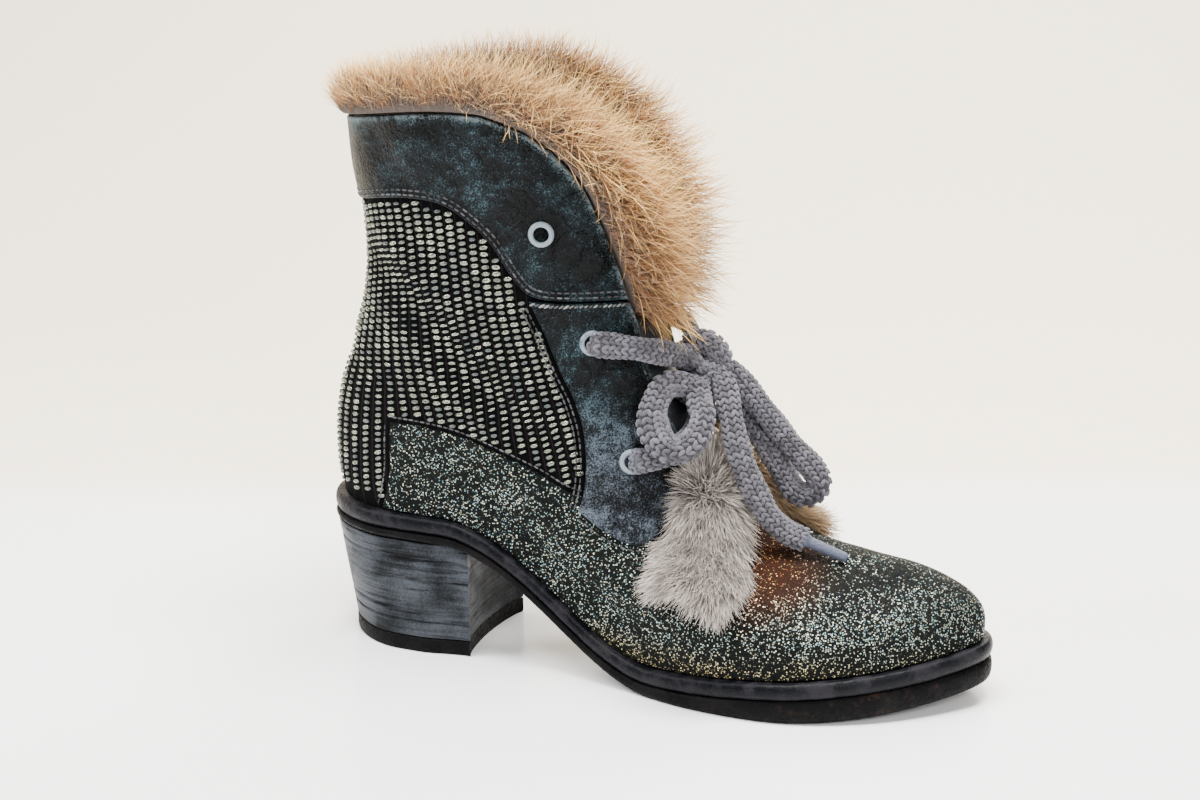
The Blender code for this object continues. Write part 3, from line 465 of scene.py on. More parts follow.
def written(bm, mesh, smooth_faces=False):
    """A mesh filled from a bmesh, with every face turned outwards."""
    bmesh.ops.recalc_face_normals(bm, faces=bm.faces)
    if smooth_faces:
        for face in bm.faces:
            face.smooth = True
    bm.to_mesh(mesh)
    bm.free()
    return mesh


def stack_mesh(name, rings, fan=False):
    """Closed solid of rings, with its ends filled straight across or by a fan from the middle."""
    count = len(rings[0])
    bm = bmesh.new()
    rows = [[bm.verts.new(Vector(point) * MM) for point in ring] for ring in rings]
    for low, high in zip(rows, rows[1:]):
        for i in range(count):
            j = (i + 1) % count
            bm.faces.new((low[i], low[j], high[j], high[i]))
    for row in (rows[0], rows[-1]):
        if fan:
            middle = bm.verts.new(sum((vert.co for vert in row), Vector()) / count)
            for i in range(count):
                bm.faces.new((row[i], row[(i + 1) % count], middle))
            continue
        half = count // 2
        bm.faces.new((row[0], row[1], row[-1]))
        for i in range(1, half - 1):
            bm.faces.new((row[i], row[i + 1], row[count - i - 1], row[count - i]))
        bm.faces.new((row[half - 1], row[half], row[half + 1]))
    return written(bm, bpy.data.meshes.new(name))


def shade_smooth(made, limit=40.0):
    """Smooth shading, except at edges sharper than a limit in degrees."""
    made.data.polygons.foreach_set("use_smooth", np.ones(len(made.data.polygons), bool))
    made.data.set_sharp_from_angle(angle=math.radians(limit))


rubber = Finish("sole rubber", paint(12, 11, 13), 0.55, specular_ior_level=0.06)
patches = rubber.ease(rubber.noise(14.0, 4.0), 0.48, 0.62)
grit = rubber.noise(1.1, 4.0)
toe_share = rubber.ease(rubber.coordinate(0), 0.10, 0.23)
rubber.feed("Base Color", rubber.mix(
    rubber.mix(paint(6, 6, 7), paint(20, 18, 19), patches * grit),
    paint(44, 32, 24), toe_share * rubber.ease(rubber.noise(6.0, 5.0, 0.7), 0.5, 0.72)))
rubber.feed("Roughness", rubber.ease(grit, 0.3, 0.7, 0.42, 0.75))
rubber.feed("Normal", rubber.bump(grit + rubber.noise(5.0) * 1.5, 0.25))
outsole = link_object("outsole_rubber", stack_mesh("outsole_rubber", layer_rings(
    OUTSOLE_PROFILE, floor_line, outsole_top)), [rubber])
shade_smooth(outsole)
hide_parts("outsole")
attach(outsole, "root")


# Welt
# A strip of blue-black leather runs round the whole boot between the upper and the outsole. Its
# edge is rounded and waxed, and a groove parts it from the rubber.
WELT_PROFILE = (
    # inset, share of the height
    (1.7, 0.00), (0.9, 0.07), (0.35, 0.20), (0.05, 0.36), (0.0, 0.50), (0.1, 0.66),
    (0.4, 0.81), (0.9, 0.93), (1.7, 1.00),
)


def welt_top(x):
    share = np.clip((x - SOLE_BACK) / SOLE_LENGTH, 0.0, 1.0)
    return outsole_top(x) + WELT_HEIGHT * read_table(SOLE_LAYERS, 2, share)


def welt_underside(x):
    return outsole_top(x) + GAP


welt_leather = Finish("welt leather", paint(12, 13, 17), 0.42, specular_ior_level=0.09)
wear = welt_leather.ease(welt_leather.noise(9.0, 5.0, 0.65), 0.46, 0.66)
grain = welt_leather.noise(0.8, 3.0)
welt_leather.feed("Base Color", welt_leather.mix(
    welt_leather.mix(paint(6, 7, 11), paint(20, 22, 30), wear), paint(44, 38, 35), wear * grain * 0.6))
welt_leather.feed("Roughness", welt_leather.ease(grain + wear * 0.4, 0.3, 1.0, 0.3, 0.6))
welt_leather.feed("Normal", welt_leather.bump(grain + welt_leather.noise(4.0) * 1.2, 0.22))
welt = link_object("welt_strip", stack_mesh("welt_strip", layer_rings(
    WELT_PROFILE, welt_underside, welt_top)), [welt_leather])
shade_smooth(welt)
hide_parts("welt")
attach(welt, "root")


# Heel
# A block heel of stacked leather lifts, painted blue-grey and rubbed pale, with a hollow breast
# and a rubber top lift nailed under it.
HEEL_BREAST = 26.0
HEEL_PINCH = 3.0
HEEL_RAKE = 7.0
BREAST_HOLLOW = 3.5
TOP_LIFT = 6.0
SEAT_GAP = 0.6
HEEL_PROFILE = (
    # share of the height, inset
    (0.000, 1.35), (0.012, 1.0), (0.130, 1.0), (0.148, 1.15), (0.160, 1.75), (0.172, 1.75), (0.184, 1.12),
    (0.200, 0.98), (0.255, 0.98), (0.270, 1.1), (0.282, 1.6), (0.294, 1.6), (0.306, 1.08), (0.322, 0.96),
    (0.520, 0.92), (0.800, 0.9), (0.814, 1.05), (0.824, 1.5), (0.836, 1.5), (0.848, 1.02),
    (0.865, 0.88), (0.985, 0.8), (1.000, 1.1),
)
TOP_LIFT_PROFILE = ((0.00, 1.7), (0.06, 1.1), (0.20, 0.9), (0.80, 0.9), (0.93, 1.0), (1.00, 1.5))
HEEL_STEPS = 60
BREAST_STEPS = 22


def heel_outline(inset, rake):
    """Outline of the heel: the sole's back edge, two corners and a hollow breast."""
    corner = math.acos(1.0 - 2.0 * (HEEL_BREAST - SOLE_BACK) / SOLE_LENGTH)
    edge = sole_edge(corner * np.linspace(-1.0, 1.0, 2 * HEEL_STEPS + 1), inset)
    back = 1.0 - (edge[:, 0] - SOLE_BACK) / (HEEL_BREAST - SOLE_BACK)
    pinch = HEEL_PINCH * smooth(1.0 - 3.0 * back)
    points = np.column_stack([
        edge[:, 0] + rake * smooth(back), edge[:, 1] - np.copysign(pinch, edge[:, 1])])
    share = np.linspace(0.0, 1.0, BREAST_STEPS + 1)[1:-1, None]
    breast = blend(points[-1], points[0], share)
    breast[:, :1] -= BREAST_HOLLOW * np.sin(math.pi * share) ** 0.6
    return np.concatenate([points, breast])


def heel_rings(profile, low, high, rake):
    rings = []
    for share, inset in profile:
        edge = heel_outline(inset, rake(share))
        height = blend(low, high(edge[:, 0]), share)
        rings.append(np.column_stack([edge, height]))
    return rings


heel_finish = Finish("stacked heel", paint(24, 26, 30), 0.5, specular_ior_level=0.08)
cloud = heel_finish.noise(16.0, 3.0, 0.5)
lifts = heel_finish.noise(1.5, 4.0, 0.6, heel_finish.stretched((0.06, 0.06, 1.0), (0.0, 0.06, 0.0)))
dust = heel_finish.noise(0.8, 4.0, 0.7)
rubbed = heel_finish.ease(cloud + dust * 0.3, 0.52, 0.80)
lines = heel_finish.ease(lifts, 0.40, 0.33)
paler = heel_finish.ease(lifts * 0.35 + dust * 0.3 + cloud * 0.45, 0.42, 0.70)
heel_finish.feed("Base Color", heel_finish.mix(
    heel_finish.mix(paint(12, 14, 16), paint(62, 66, 72), paler), paint(3, 3, 4), lines * 0.85))
heel_finish.feed("Roughness", heel_finish.ease(rubbed, 0.0, 1.0, 0.55, 0.38))
heel_finish.feed("Normal", heel_finish.bump(lifts + dust * 0.3 - lines * 0.8, 0.5))


def heel_seat(x):
    return floor_line(x) - SEAT_GAP


heel = link_object("heel_stack", stack_mesh("heel_stack", heel_rings(
    HEEL_PROFILE, TOP_LIFT + GAP, heel_seat, lambda share: HEEL_RAKE * (1.0 - share)), True), [heel_finish])
shade_smooth(heel)
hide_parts("heel")
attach(heel, "root")
top_lift = link_object("top_lift_rubber", stack_mesh("top_lift_rubber", heel_rings(
    TOP_LIFT_PROFILE, 0.0, lambda x: TOP_LIFT + 0.0 * x, lambda share: HEEL_RAKE), True), [rubber])
shade_smooth(top_lift)
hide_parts("top_lift")
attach(top_lift, "root")


# Upper
# The boot's lined body: a dark cloth outside under the beadwork, a soft tan lining inside, lasted
# over the welt. It is open down the front for the lacing.
SHAFT_HEIGHT = 148.0
SHAFT_HALF = 33.0
COLLAR_CROWN = 7.0
WELT_LEDGE = 4.0
WALL = 2.0
FRONT_LINE = (
    # level, along, up: where each loop of the upper crosses the middle plane in front
    (0.00, 0.986, 0.000),
    (0.03, 0.984, 0.050),
    (0.06, 0.968, 0.080),
    (0.09, 0.943, 0.101),
    (0.13, 0.901, 0.123),
    (0.18, 0.832, 0.141),
    (0.22, 0.779, 0.150),
    (0.26, 0.729, 0.164),
    (0.31, 0.679, 0.197),
    (0.36, 0.641, 0.251),
    (0.42, 0.607, 0.315),
    (0.55, 0.557, 0.454),
    (0.70, 0.517, 0.624),
    (0.86, 0.490, 0.810),
    (1.00, 0.477, 1.000),
)
BACK_LINE = (
    # level, along
    (0.00, 0.015),
    (0.07, 0.008),
    (0.14, 0.006),
    (0.25, 0.012),
    (0.33, 0.024),
    (0.44, 0.044),
    (0.55, 0.063),
    (0.68, 0.069),
    (0.77, 0.068),
    (0.89, 0.057),
    (1.00, 0.053),
)
LOOP_FORM = (
    # level, forefoot, shaft, back round, nose
    (0.00, 1.00, 0.95, 0.13, 0.28),
    (0.06, 1.02, 0.97, 0.15, 0.36),
    (0.13, 1.00, 0.99, 0.18, 0.46),
    (0.22, 0.94, 1.00, 0.22, 0.56),
    (0.32, 0.86, 0.98, 0.27, 0.58),
    (0.45, 0.80, 0.94, 0.32, 0.56),
    (0.60, 0.80, 0.93, 0.34, 0.52),
    (0.80, 0.80, 0.97, 0.34, 0.50),
    (1.00, 0.80, 1.04, 0.34, 0.48),
)
ANKLE_LEVEL = 0.6
WELT_HOLD = 0.12
THROAT_BASE = 0.385
THROAT_EDGE = (
    # level, reach in degrees from the back
    (0.385, 180.0),
    (0.400, 166.0),
    (0.430, 158.0),
    (0.500, 155.0),
    (0.600, 153.0),
    (0.700, 153.5),
    (0.800, 149.5),
    (0.870, 144.0),
    (0.930, 135.0),
    (0.965, 124.0),
    (0.985, 114.0),
    (1.000, 100.0),
)


def feather(x):
    """Height at which the upper meets the welt."""
    return welt_top(x) + GAP


HEEL_SEAM = float(feather(along(BACK_LINE[0][1])))
TOE_SEAM = float(feather(along(FRONT_LINE[0][1])))


def loop_rule(level, angle):
    """Point of a loop of the upper by the tables alone."""
    back_x = along(read_table(BACK_LINE, 1, level))
    back_z = HEEL_SEAM + SHAFT_HEIGHT * level
    front_x = along(read_table(FRONT_LINE, 1, level))
    front_z = blend(TOE_SEAM, HEEL_SEAM + SHAFT_HEIGHT, read_table(FRONT_LINE, 2, level))
    side = np.where(np.sin(angle) >= 0, -1.0, 1.0)
    share = (1.0 - np.cos(angle)) / 2.0
    foot = (half_width(share, side) - WELT_LEDGE) * read_table(LOOP_FORM, 1, level)
    shaft = SHAFT_HALF * read_table(LOOP_FORM, 2, level)
    risen = smooth(level / ANKLE_LEVEL)
    half = blend(foot, shaft, risen) * rounded(share, read_table(LOOP_FORM, 3, level))
    half = half * rounded(1.0 - share, read_table(LOOP_FORM, 4, level))
    sole_fall = (feather(along(share)) - HEEL_SEAM) / (TOE_SEAM - HEEL_SEAM)
    fall = blend(sole_fall, share, risen)
    crown = COLLAR_CROWN * np.sin(math.pi * share) * level ** 4
    return np.stack([
        blend(back_x, front_x, share),
        swing(share) * (1.0 - risen) + side * half,
        blend(back_z, front_z, fall) + crown,
    ], axis=-1)


def loop_point(level, angle):
    """Point of the upper's outer face: angle 0 at the back, pi in front, negative on the inner side."""
    level, angle = np.broadcast_arrays(np.asarray(level, float), np.asarray(angle, float))
    edge = sole_edge(angle, WELT_LEDGE)
    seam = np.concatenate([edge, feather(edge[..., :1])], axis=-1)
    hold = (np.clip(1.0 - level / WELT_HOLD, 0.0, 1.0) ** 2)[..., None]
    return loop_rule(level, angle) + hold * (seam - loop_rule(0.0 * level, angle))


def surface_normal(level, angle):
    """Outward normal of the upper's outer face."""
    step = 0.01
    above = loop_point(np.minimum(level + step, 1.0), angle)
    up = above - loop_point(np.maximum(level - step, 0.0), angle)
    across = loop_point(level, angle + step) - loop_point(level, angle - step)
    return unit(np.cross(across, up))


def throat_reach(level):
    """Angle at which the leather of a loop ends."""
    return np.where(level <= THROAT_BASE, math.pi, np.radians(read_table(THROAT_EDGE, 1, level)))


def from_side(x, z, side=-1.0):
    """Level and angle of the upper where its side view shows (x, z)."""
    x, z = np.asarray(x, float), np.asarray(z, float)
    low, high = np.zeros_like(x), np.ones_like(x)
    for _ in range(30):
        level = (low + high) / 2.0
        back_x = along(read_table(BACK_LINE, 1, level))
        front_x = along(read_table(FRONT_LINE, 1, level))
        angle = np.arccos(1.0 - 2.0 * np.clip((x - back_x) / (front_x - back_x), 0.0, 1.0))
        below = loop_point(level, angle)[..., 2] < z
        low, high = np.where(below, level, low), np.where(below, high, level)
    return level, -side * angle


# Soft troughs and ridges pressed into every layer of the upper by wear, seen from the outer side.
WEAR_LINES = (
    # width, depth, points (x, z); a negative depth stands out
    (7.0, 1.5, ((-12.0, 152.0), (8.0, 137.0), (30.0, 113.0), (50.0, 95.0), (62.0, 84.0))),
    (6.0, -0.8, ((-4.0, 160.0), (18.0, 144.0), (40.0, 121.0), (58.0, 104.0))),
    (5.0, -0.7, ((4.0, 125.0), (24.0, 103.0), (44.0, 90.0))),
    (4.0, 0.9, ((50.0, 88.0), (60.0, 76.0), (68.0, 66.0))),
    (5.0, 0.9, ((-36.0, 116.0), (-20.0, 108.0), (-4.0, 105.0))),
    (6.0, 1.1, ((-6.0, 204.0), (-2.0, 194.0), (4.0, 186.0))),
    (6.0, -0.7, ((16.0, 206.0), (14.0, 192.0))),
    (5.0, 0.8, ((66.0, 152.0), (76.0, 146.0), (88.0, 145.0))),
    (5.0, -0.9, ((66.0, 140.0), (78.0, 138.0), (88.0, 134.0))),
    (5.0, 0.9, ((72.0, 112.0), (84.0, 108.0), (98.0, 104.0))),
    (6.0, -0.9, ((80.0, 96.0), (92.0, 94.0), (102.0, 90.0))),
    (5.0, 0.8, ((82.0, 72.0), (96.0, 70.0), (106.0, 76.0))),
    (9.0, 0.9, ((112.0, 30.0), (124.0, 48.0), (134.0, 62.0))),
    (8.0, -0.6, ((138.0, 24.0), (146.0, 38.0), (152.0, 52.0))),
    (10.0, 0.6, ((160.0, 30.0), (176.0, 42.0))),
    (8.0, 0.7, ((40.0, 60.0), (66.0, 44.0), (88.0, 30.0))),
)


def relief(points):
    """How far wear presses each point in or out, in millimetres."""
    offset = np.zeros(points.shape[:-1])
    flat = points[..., (0, 2)]
    for width, depth, line in WEAR_LINES:
        line = np.array(line)
        nearest = np.full(offset.shape, 1e9)
        for start, end in zip(line, line[1:]):
            way = end - start
            share = np.clip(((flat - start) @ way) / (way @ way), 0.0, 1.0)
            gap = flat - (start + share[..., None] * way)
            nearest = np.minimum(nearest, np.hypot(gap[..., 0], gap[..., 1]))
        offset -= depth * np.exp(-(nearest / width) ** 2)
    return offset


def skin(level, angle, offset):
    """Points of the upper, a distance out from its worn outer face."""
    points = loop_point(level, angle)
    normals = surface_normal(level, angle)
    held = smooth(np.asarray(level) / 0.1) * smooth((1.03 - np.asarray(level)) / 0.08)
    return points + normals * (offset + relief(points) * held)[..., None]


COLUMN_FRONT = (
    # level, x: the foremost warp of beads that the cloth would hold
    (0.00, 92.0),
    (0.20, 84.0),
    (0.30, 79.0),
    (0.35, 76.0),
    (0.42, 70.5),
    (0.47, 67.0),
    (0.55, 61.5),
    (0.63, 57.0),
    (0.80, 54.0),
    (1.00, 54.0),
)
BEAD_COLUMNS = 22
BEAD_PITCH = 2.45


def lengths_along(points):
    """Length of a line of points up to each of them."""
    return np.concatenate([[0.0], np.cumsum(np.linalg.norm(np.diff(points, axis=0), axis=1))])


def column_angle(level, column):
    """Angle of a warp of beads on the outer side, counted from the back."""
    level = float(level)
    back_x = along(read_table(BACK_LINE, 1, level))
    front_x = along(read_table(FRONT_LINE, 1, level))
    share = (read_table(COLUMN_FRONT, 1, level) - back_x) / (front_x - back_x)
    turns = np.linspace(0.0, math.acos(1.0 - 2.0 * float(share)), 80)
    lengths = lengths_along(loop_point(level, turns))
    angle = np.interp(np.abs(column) / BEAD_COLUMNS * lengths[-1], lengths, turns)
    return angle * np.where(column < 0, -1, 1)


UPPER_ROWS = 110
UPPER_COLUMNS = 201
levels = np.linspace(0.0, 1.0, UPPER_ROWS)
shares = np.linspace(-1.0, 1.0, UPPER_COLUMNS)
upper_level = np.repeat(levels[:, None], UPPER_COLUMNS, axis=1)
upper_angle = throat_reach(levels)[:, None] * shares[None, :]
outer_skin = skin(upper_level, upper_angle, 0.0)
inner_skin = skin(upper_level, upper_angle, -WALL)
inner_skin[0, :, 2] = outer_skin[0, :, 2]
columns = np.zeros_like(upper_angle)
for i, level in enumerate(levels):
    counts = np.linspace(0.0, 2.0 * BEAD_COLUMNS, 120)
    columns[i] = np.interp(np.abs(upper_angle[i]), column_angle(level, counts), counts)
outside = grid_faces(UPPER_ROWS, UPPER_COLUMNS)
total = UPPER_ROWS * UPPER_COLUMNS
inside = outside[:, ::-1] + total
numbers = np.arange(total).reshape(UPPER_ROWS, UPPER_COLUMNS)
rim = np.concatenate([numbers[0, ::-1], numbers[1:, 0], numbers[-1, 1:], numbers[-2:0:-1, -1]])
rim_next = np.roll(rim, -1)
walls = np.column_stack([rim, rim_next, rim_next + total, rim + total])
upper_mesh = make_mesh(
    "upper_cloth", np.concatenate([outer_skin.reshape(-1, 3), inner_skin.reshape(-1, 3)]),
    np.concatenate([outside, inside, walls]),
    numbers={"warp": np.tile(columns.ravel(), 2)})


def close_mesh(mesh):
    """Merge points that meet and turn every face outwards."""
    bm = bmesh.new()
    bm.from_mesh(mesh)
    bmesh.ops.remove_doubles(bm, verts=bm.verts, dist=0.002 * MM)
    bmesh.ops.dissolve_degenerate(bm, edges=bm.edges, dist=0.0005 * MM)
    written(bm, mesh)


cloth = Finish("beaded cloth", paint(5, 5, 6), 0.9, specular_ior_level=0.05)
warp = cloth.attribute("warp")
between = warp - warp.sum("FLOOR") - 0.5
thread = cloth.ease(between.sum("ABSOLUTE"), 0.10, 0.03)
twist = cloth.noise(0.9, 2.0)
cloth.feed("Base Color", cloth.mix(
    cloth.mix(paint(1, 1, 2), paint(8, 8, 9), twist), paint(34, 26, 28), thread * twist * 0.9))
cloth.feed("Normal", cloth.bump(thread + twist * 0.5, 0.35))
lining = Finish("tan lining", paint(150, 128, 104), 0.85, sheen_weight=0.3)
nap = lining.noise(1.6, 4.0)
lining.feed("Base Color", lining.mix(paint(118, 96, 76), paint(170, 148, 120), nap))
lining.feed("Normal", lining.bump(nap, 0.5))
upper_mesh.materials.append(cloth.material)
upper_mesh.materials.append(lining.material)
kinds = np.concatenate([np.zeros(len(outside), int), np.ones(len(inside) + len(walls), int)])
upper_mesh.polygons.foreach_set("material_index", kinds)
close_mesh(upper_mesh)
upper = link_object("upper_cloth", upper_mesh)
shade_smooth(upper, 60.0)
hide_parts("upper")
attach(upper, "root")


# Insole and tongue
# A flat leather insole lies on the welt inside the boot. The padded tongue is cloth-lined leather
# and lies against the inside of the throat, under the lacing.
INSOLE_INSET = WELT_LEDGE + WALL + 3 * GAP
INSOLE_HEIGHT = 2.5
TONGUE_DEPTH = WALL + 0.75
TONGUE_THICKNESS = 3.0
TONGUE_FORM = (
    # level, spread in degrees
    (0.34, 20.0),
    (0.40, 34.0),
    (0.50, 38.0),
    (0.60, 38.0),
    (0.66, 34.0),
    (0.70, 22.0),
)

insole = link_object("insole_sheet", stack_mesh("insole_sheet", layer_rings(
    ((INSOLE_INSET + 0.6, 0.0), (INSOLE_INSET, 0.3), (INSOLE_INSET, 0.75), (INSOLE_INSET + 0.7, 1.0)),
    lambda x: welt_top(x) + GAP, lambda x: welt_top(x) + GAP + INSOLE_HEIGHT)), [lining])
shade_smooth(insole)
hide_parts("insole")
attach(insole, "root")

tongue_leather = Finish("tongue leather", paint(58, 64, 72), 0.5)
soft_grain = tongue_leather.noise(1.4, 4.0)
tongue_leather.feed("Base Color", tongue_leather.mix(paint(16, 18, 22), paint(40, 46, 52), soft_grain))
tongue_leather.feed("Normal", tongue_leather.bump(soft_grain, 0.4))
rows, cols = 40, 36
tongue_level = np.repeat(np.linspace(TONGUE_FORM[0][0], TONGUE_FORM[-1][0], rows)[:, None], cols, axis=1)
spread = np.radians(read_table(TONGUE_FORM, 1, tongue_level[:, 0]))[:, None]
across = np.linspace(-1.0, 1.0, cols)[None, :]
tongue_angle = math.pi + spread * across
hem = rounded(1.0 - np.abs(across), 0.12) * rounded(
    np.minimum(np.linspace(0, 1, rows), np.linspace(1, 0, rows))[:, None] * 2.0, 0.12)
tongue_normal = surface_normal(tongue_level, tongue_angle)
middle = loop_point(tongue_level, tongue_angle) - tongue_normal * (TONGUE_DEPTH + TONGUE_THICKNESS / 2.0)
face = middle + tongue_normal * (hem * TONGUE_THICKNESS / 2.0)[..., None]
rear = middle - tongue_normal * (hem * TONGUE_THICKNESS / 2.0)[..., None]
quads = grid_faces(rows, cols)
tongue_mesh = make_mesh("tongue_pad", np.concatenate([face.reshape(-1, 3), rear.reshape(-1, 3)]),
                        np.concatenate([quads, quads[:, ::-1] + rows * cols]))
close_mesh(tongue_mesh)
tongue = link_object("tongue_pad", tongue_mesh, [tongue_leather])
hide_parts("tongue")
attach(tongue, "root")


# Vamp
# One piece of glitter leather wraps the forefoot and runs back along the welt on both sides, with
# a stitched edge over the cloth. Metal flakes in its finish catch the light; more flakes are painted bright
# on the toe's side as a painted highlight, and fewer on the top as painted shade.
VAMP_LOW, VAMP_HIGH = -0.2, 0.85
VAMP_TOP = (
    # x, z: top edge of the wing and where it runs under the lacing tab, on the outer side
    (-5.0, 91.0), (2.0, 91.3), (8.0, 91.0), (20.0, 90.0), (33.0, 87.0), (45.5, 83.0), (58.0, 78.0),
    (68.0, 73.0), (78.0, 71.0), (92.0, 72.0), (104.0, 73.5),
)
VAMP_REAR_FOOT = -8.0
PANEL_ROLL = 0.9
RUB_REACH = 2.2


def curve_through(points, count):
    """Even points along a line through rows of numbers."""
    points = np.asarray(points, float)
    lengths = lengths_along(points)
    places = np.linspace(0.0, lengths[-1], count)
    return np.column_stack([np.interp(places, lengths, column) for column in points.T])


def side_curve(points, side=-1.0):
    """Level and angle of a side-view line, with its bends rounded."""
    points = curve_through(points, 160)
    soft = np.array(points)
    for _ in range(60):
        soft[1:-1] = (soft[:-2] + 2.0 * soft[1:-1] + soft[2:]) / 4.0
    level, angle = from_side(soft[:, 0], soft[:, 1], side)
    return np.column_stack([level, angle])


def spaced(count, crowding=0.8):
    """Places from 0 to 1, closer together near both ends."""
    t = np.linspace(0.0, 1.0, count)
    return t - crowding * np.sin(2.0 * math.pi * t) / (2.0 * math.pi)


def patch(bottom, top, left, right, rows, cols):
    """Grid of levels and angles between four lines: bottom and top run from left to right."""
    def at(line, places):
        scaled = np.asarray(line) * (120.0, 60.0)
        lengths = lengths_along(scaled)
        return np.column_stack([
            np.interp(places * lengths[-1], lengths, column) for column in np.asarray(line).T])
    u, v = spaced(cols), spaced(rows)
    low, high = at(bottom, u)[None, :, :], at(top, u)[None, :, :]
    near, far = at(left, v)[:, None, :], at(right, v)[:, None, :]
    u, v = u[None, :, None], v[:, None, None]
    corners = (
        (1 - u) * (1 - v) * low[:, :1] + u * (1 - v) * low[:, -1:]
        + (1 - u) * v * high[:, :1] + u * v * high[:, -1:])
    return (1 - v) * low + v * high + (1 - u) * near + u * far - corners


def nearest(points, others):
    """Distance from every point of a grid to the closest of some others."""
    rows = [np.linalg.norm(row[:, None, :] - others[None, :, :], axis=2).min(axis=1) for row in points]
    return np.stack(rows)


def leather_panel(name, grid, low, high, finish, rubbed=()):
    """Closed panel on the upper with a rounded edge, from a grid of levels and angles."""
    level, angle = np.clip(grid[..., 0], 0.0, 1.0), grid[..., 1]
    base = loop_point(level, angle)
    rows, cols = level.shape
    edge = nearest(base, np.concatenate([base[0], base[-1], base[:, 0], base[:, -1]]))
    height = blend(low, high, rounded(edge, PANEL_ROLL))
    rub = np.zeros((rows, cols))
    borders = {"top": base[-1], "left": base[:, 0], "right": base[:, -1]}
    for border in rubbed:
        rub = np.maximum(rub, np.exp(-(nearest(base, borders[border][::3]) / RUB_REACH) ** 2))
    face = skin(level, angle, height)
    back = skin(level, angle, np.full_like(edge, low))
    quads = grid_faces(rows, cols)
    mesh = make_mesh(
        name, np.concatenate([face.reshape(-1, 3), back.reshape(-1, 3)]),
        np.concatenate([quads, quads[:, ::-1] + rows * cols]),
        numbers={"rub": np.tile(rub.ravel(), 2)})
    close_mesh(mesh)
    made = link_object(name, mesh, [finish])
    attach(made, "root")
    return made


def tilted(finish, cell_colour, amount):
    """Normal turned at random in every flake, so that each catches the light by itself."""
    facing = finish.node("ShaderNodeNewGeometry", None, None, "Normal")
    leaned = finish.scaled(finish.vector("SUBTRACT", cell_colour, (0.5, 0.5, 0.5)), amount)
    turned = finish.vector("ADD", facing, leaned)
    return finish.node("ShaderNodeVectorMath", {"operation": "NORMALIZE"}, {0: turned})


glitter = Finish("glitter leather", paint(12, 14, 15), 0.4, specular_ior_level=0.06)
flake_place = glitter.shaken(0.0008, 1.6, 2.0)
flakes = glitter.cells(0.65, flake_place, output="Color")
from_middle = glitter.cells(0.65, flake_place)
pick = glitter.node("ShaderNodeSeparateColor", None, {"Color": flakes}, 0)
tint = glitter.node("ShaderNodeSeparateColor", None, {"Color": flakes}, 1)
drift = glitter.noise(12.0, 3.0)
# Painted light: upward-facing parts (crown) get fewer bright flakes as painted shade, and the toe's side
# below them gets more, as a painted highlight.
upward = glitter.coordinate(2, glitter.node("ShaderNodeNewGeometry", None, None, "Normal"))
forward = glitter.coordinate(0)
crown = glitter.ease(upward, 0.72, 0.92)
painted_toe_highlight = glitter.ease(upward, 0.15, 0.45) * (1.0 - crown) * glitter.ease(forward, 0.135, 0.165)
pick = pick + painted_toe_highlight * 0.22 - crown * 0.2
bright = glitter.ease(pick + drift * 0.6, 0.78, 1.12) * glitter.ease(from_middle, 0.48, 0.26)
spot = glitter.vector("DISTANCE", glitter.place, (0.140, -0.022, 0.052), "Value")
copper = glitter.ease(spot + glitter.noise(7.0, 3.0) * 0.012, 0.040, 0.012)
gold = glitter.ease(glitter.coordinate(2) + glitter.noise(16.0) * 0.012, 0.034, 0.020)
silver = glitter.mix(paint(130, 172, 182), paint(226, 224, 196), tint)
warm = glitter.mix(paint(196, 166, 104), paint(206, 110, 60), glitter.ease(tint, 0.3, 0.9))
flake_tone = glitter.mix(glitter.mix(silver, paint(196, 172, 112), gold * 0.8), warm, copper)
ground = glitter.mix(
    glitter.mix(paint(2, 6, 7), paint(16, 17, 13), drift), paint(48, 24, 12), copper * 0.7)
glitter.feed("Base Color", glitter.mix(ground, flake_tone, bright))
glitter.feed("Metallic", bright * 0.9)
glitter.feed("Roughness", 0.66 - bright * 0.34)
glitter.feed("Normal", glitter.bump(glitter.noise(2.6, 3.0), 0.3, 0.7, tilted(glitter, flakes, 0.7)))

foot_angle = float(from_side(VAMP_REAR_FOOT, 57.0)[1])
top_line = side_curve(VAMP_TOP)
rear_line = np.column_stack([
    np.linspace(0.0, top_line[0, 0], 60), np.linspace(foot_angle, top_line[0, 1], 60)])
throat_turn = np.linspace(top_line[-1, 1], math.pi, 60)
front_line = np.column_stack([
    blend(top_line[-1, 0], THROAT_BASE - 0.005, smooth(np.linspace(0.0, 1.0, 60))), throat_turn])
outer_top = np.concatenate([top_line, front_line[1:]])
inner_top = outer_top[::-1] * (1.0, -1.0) + (0.0, 2.0 * math.pi)
inner_rear = rear_line * (1.0, -1.0) + (0.0, 2.0 * math.pi)
foot_line = np.column_stack([np.zeros(200), np.linspace(foot_angle, 2.0 * math.pi - foot_angle, 200)])
vamp_grid = patch(foot_line, np.concatenate([outer_top, inner_top[1:]]), rear_line, inner_rear, 90, 330)
leather_panel("vamp", vamp_grid, VAMP_LOW, VAMP_HIGH, glitter)


# Collar yoke
# Crackled dark leather round the top of the shaft, cut with a deep curve towards the lacing and
# sewn over the cloth. Its edge under the fur is rubbed pale.
PANEL_LOW, PANEL_HIGH = 0.75, 1.75
YOKE_LINE = (
    # x, z: the lower edge on the outer side, from the middle of the back to the cross seam
    (-24.0, 173.5), (-19.0, 174.0), (-8.0, 177.0), (4.0, 179.0), (17.0, 179.0), (25.0, 177.0), (32.0, 172.0),
    (40.0, 166.0), (45.0, 157.0), (51.0, 148.0), (53.5, 144.8), (60.0, 144.0), (86.5, 143.6),
)

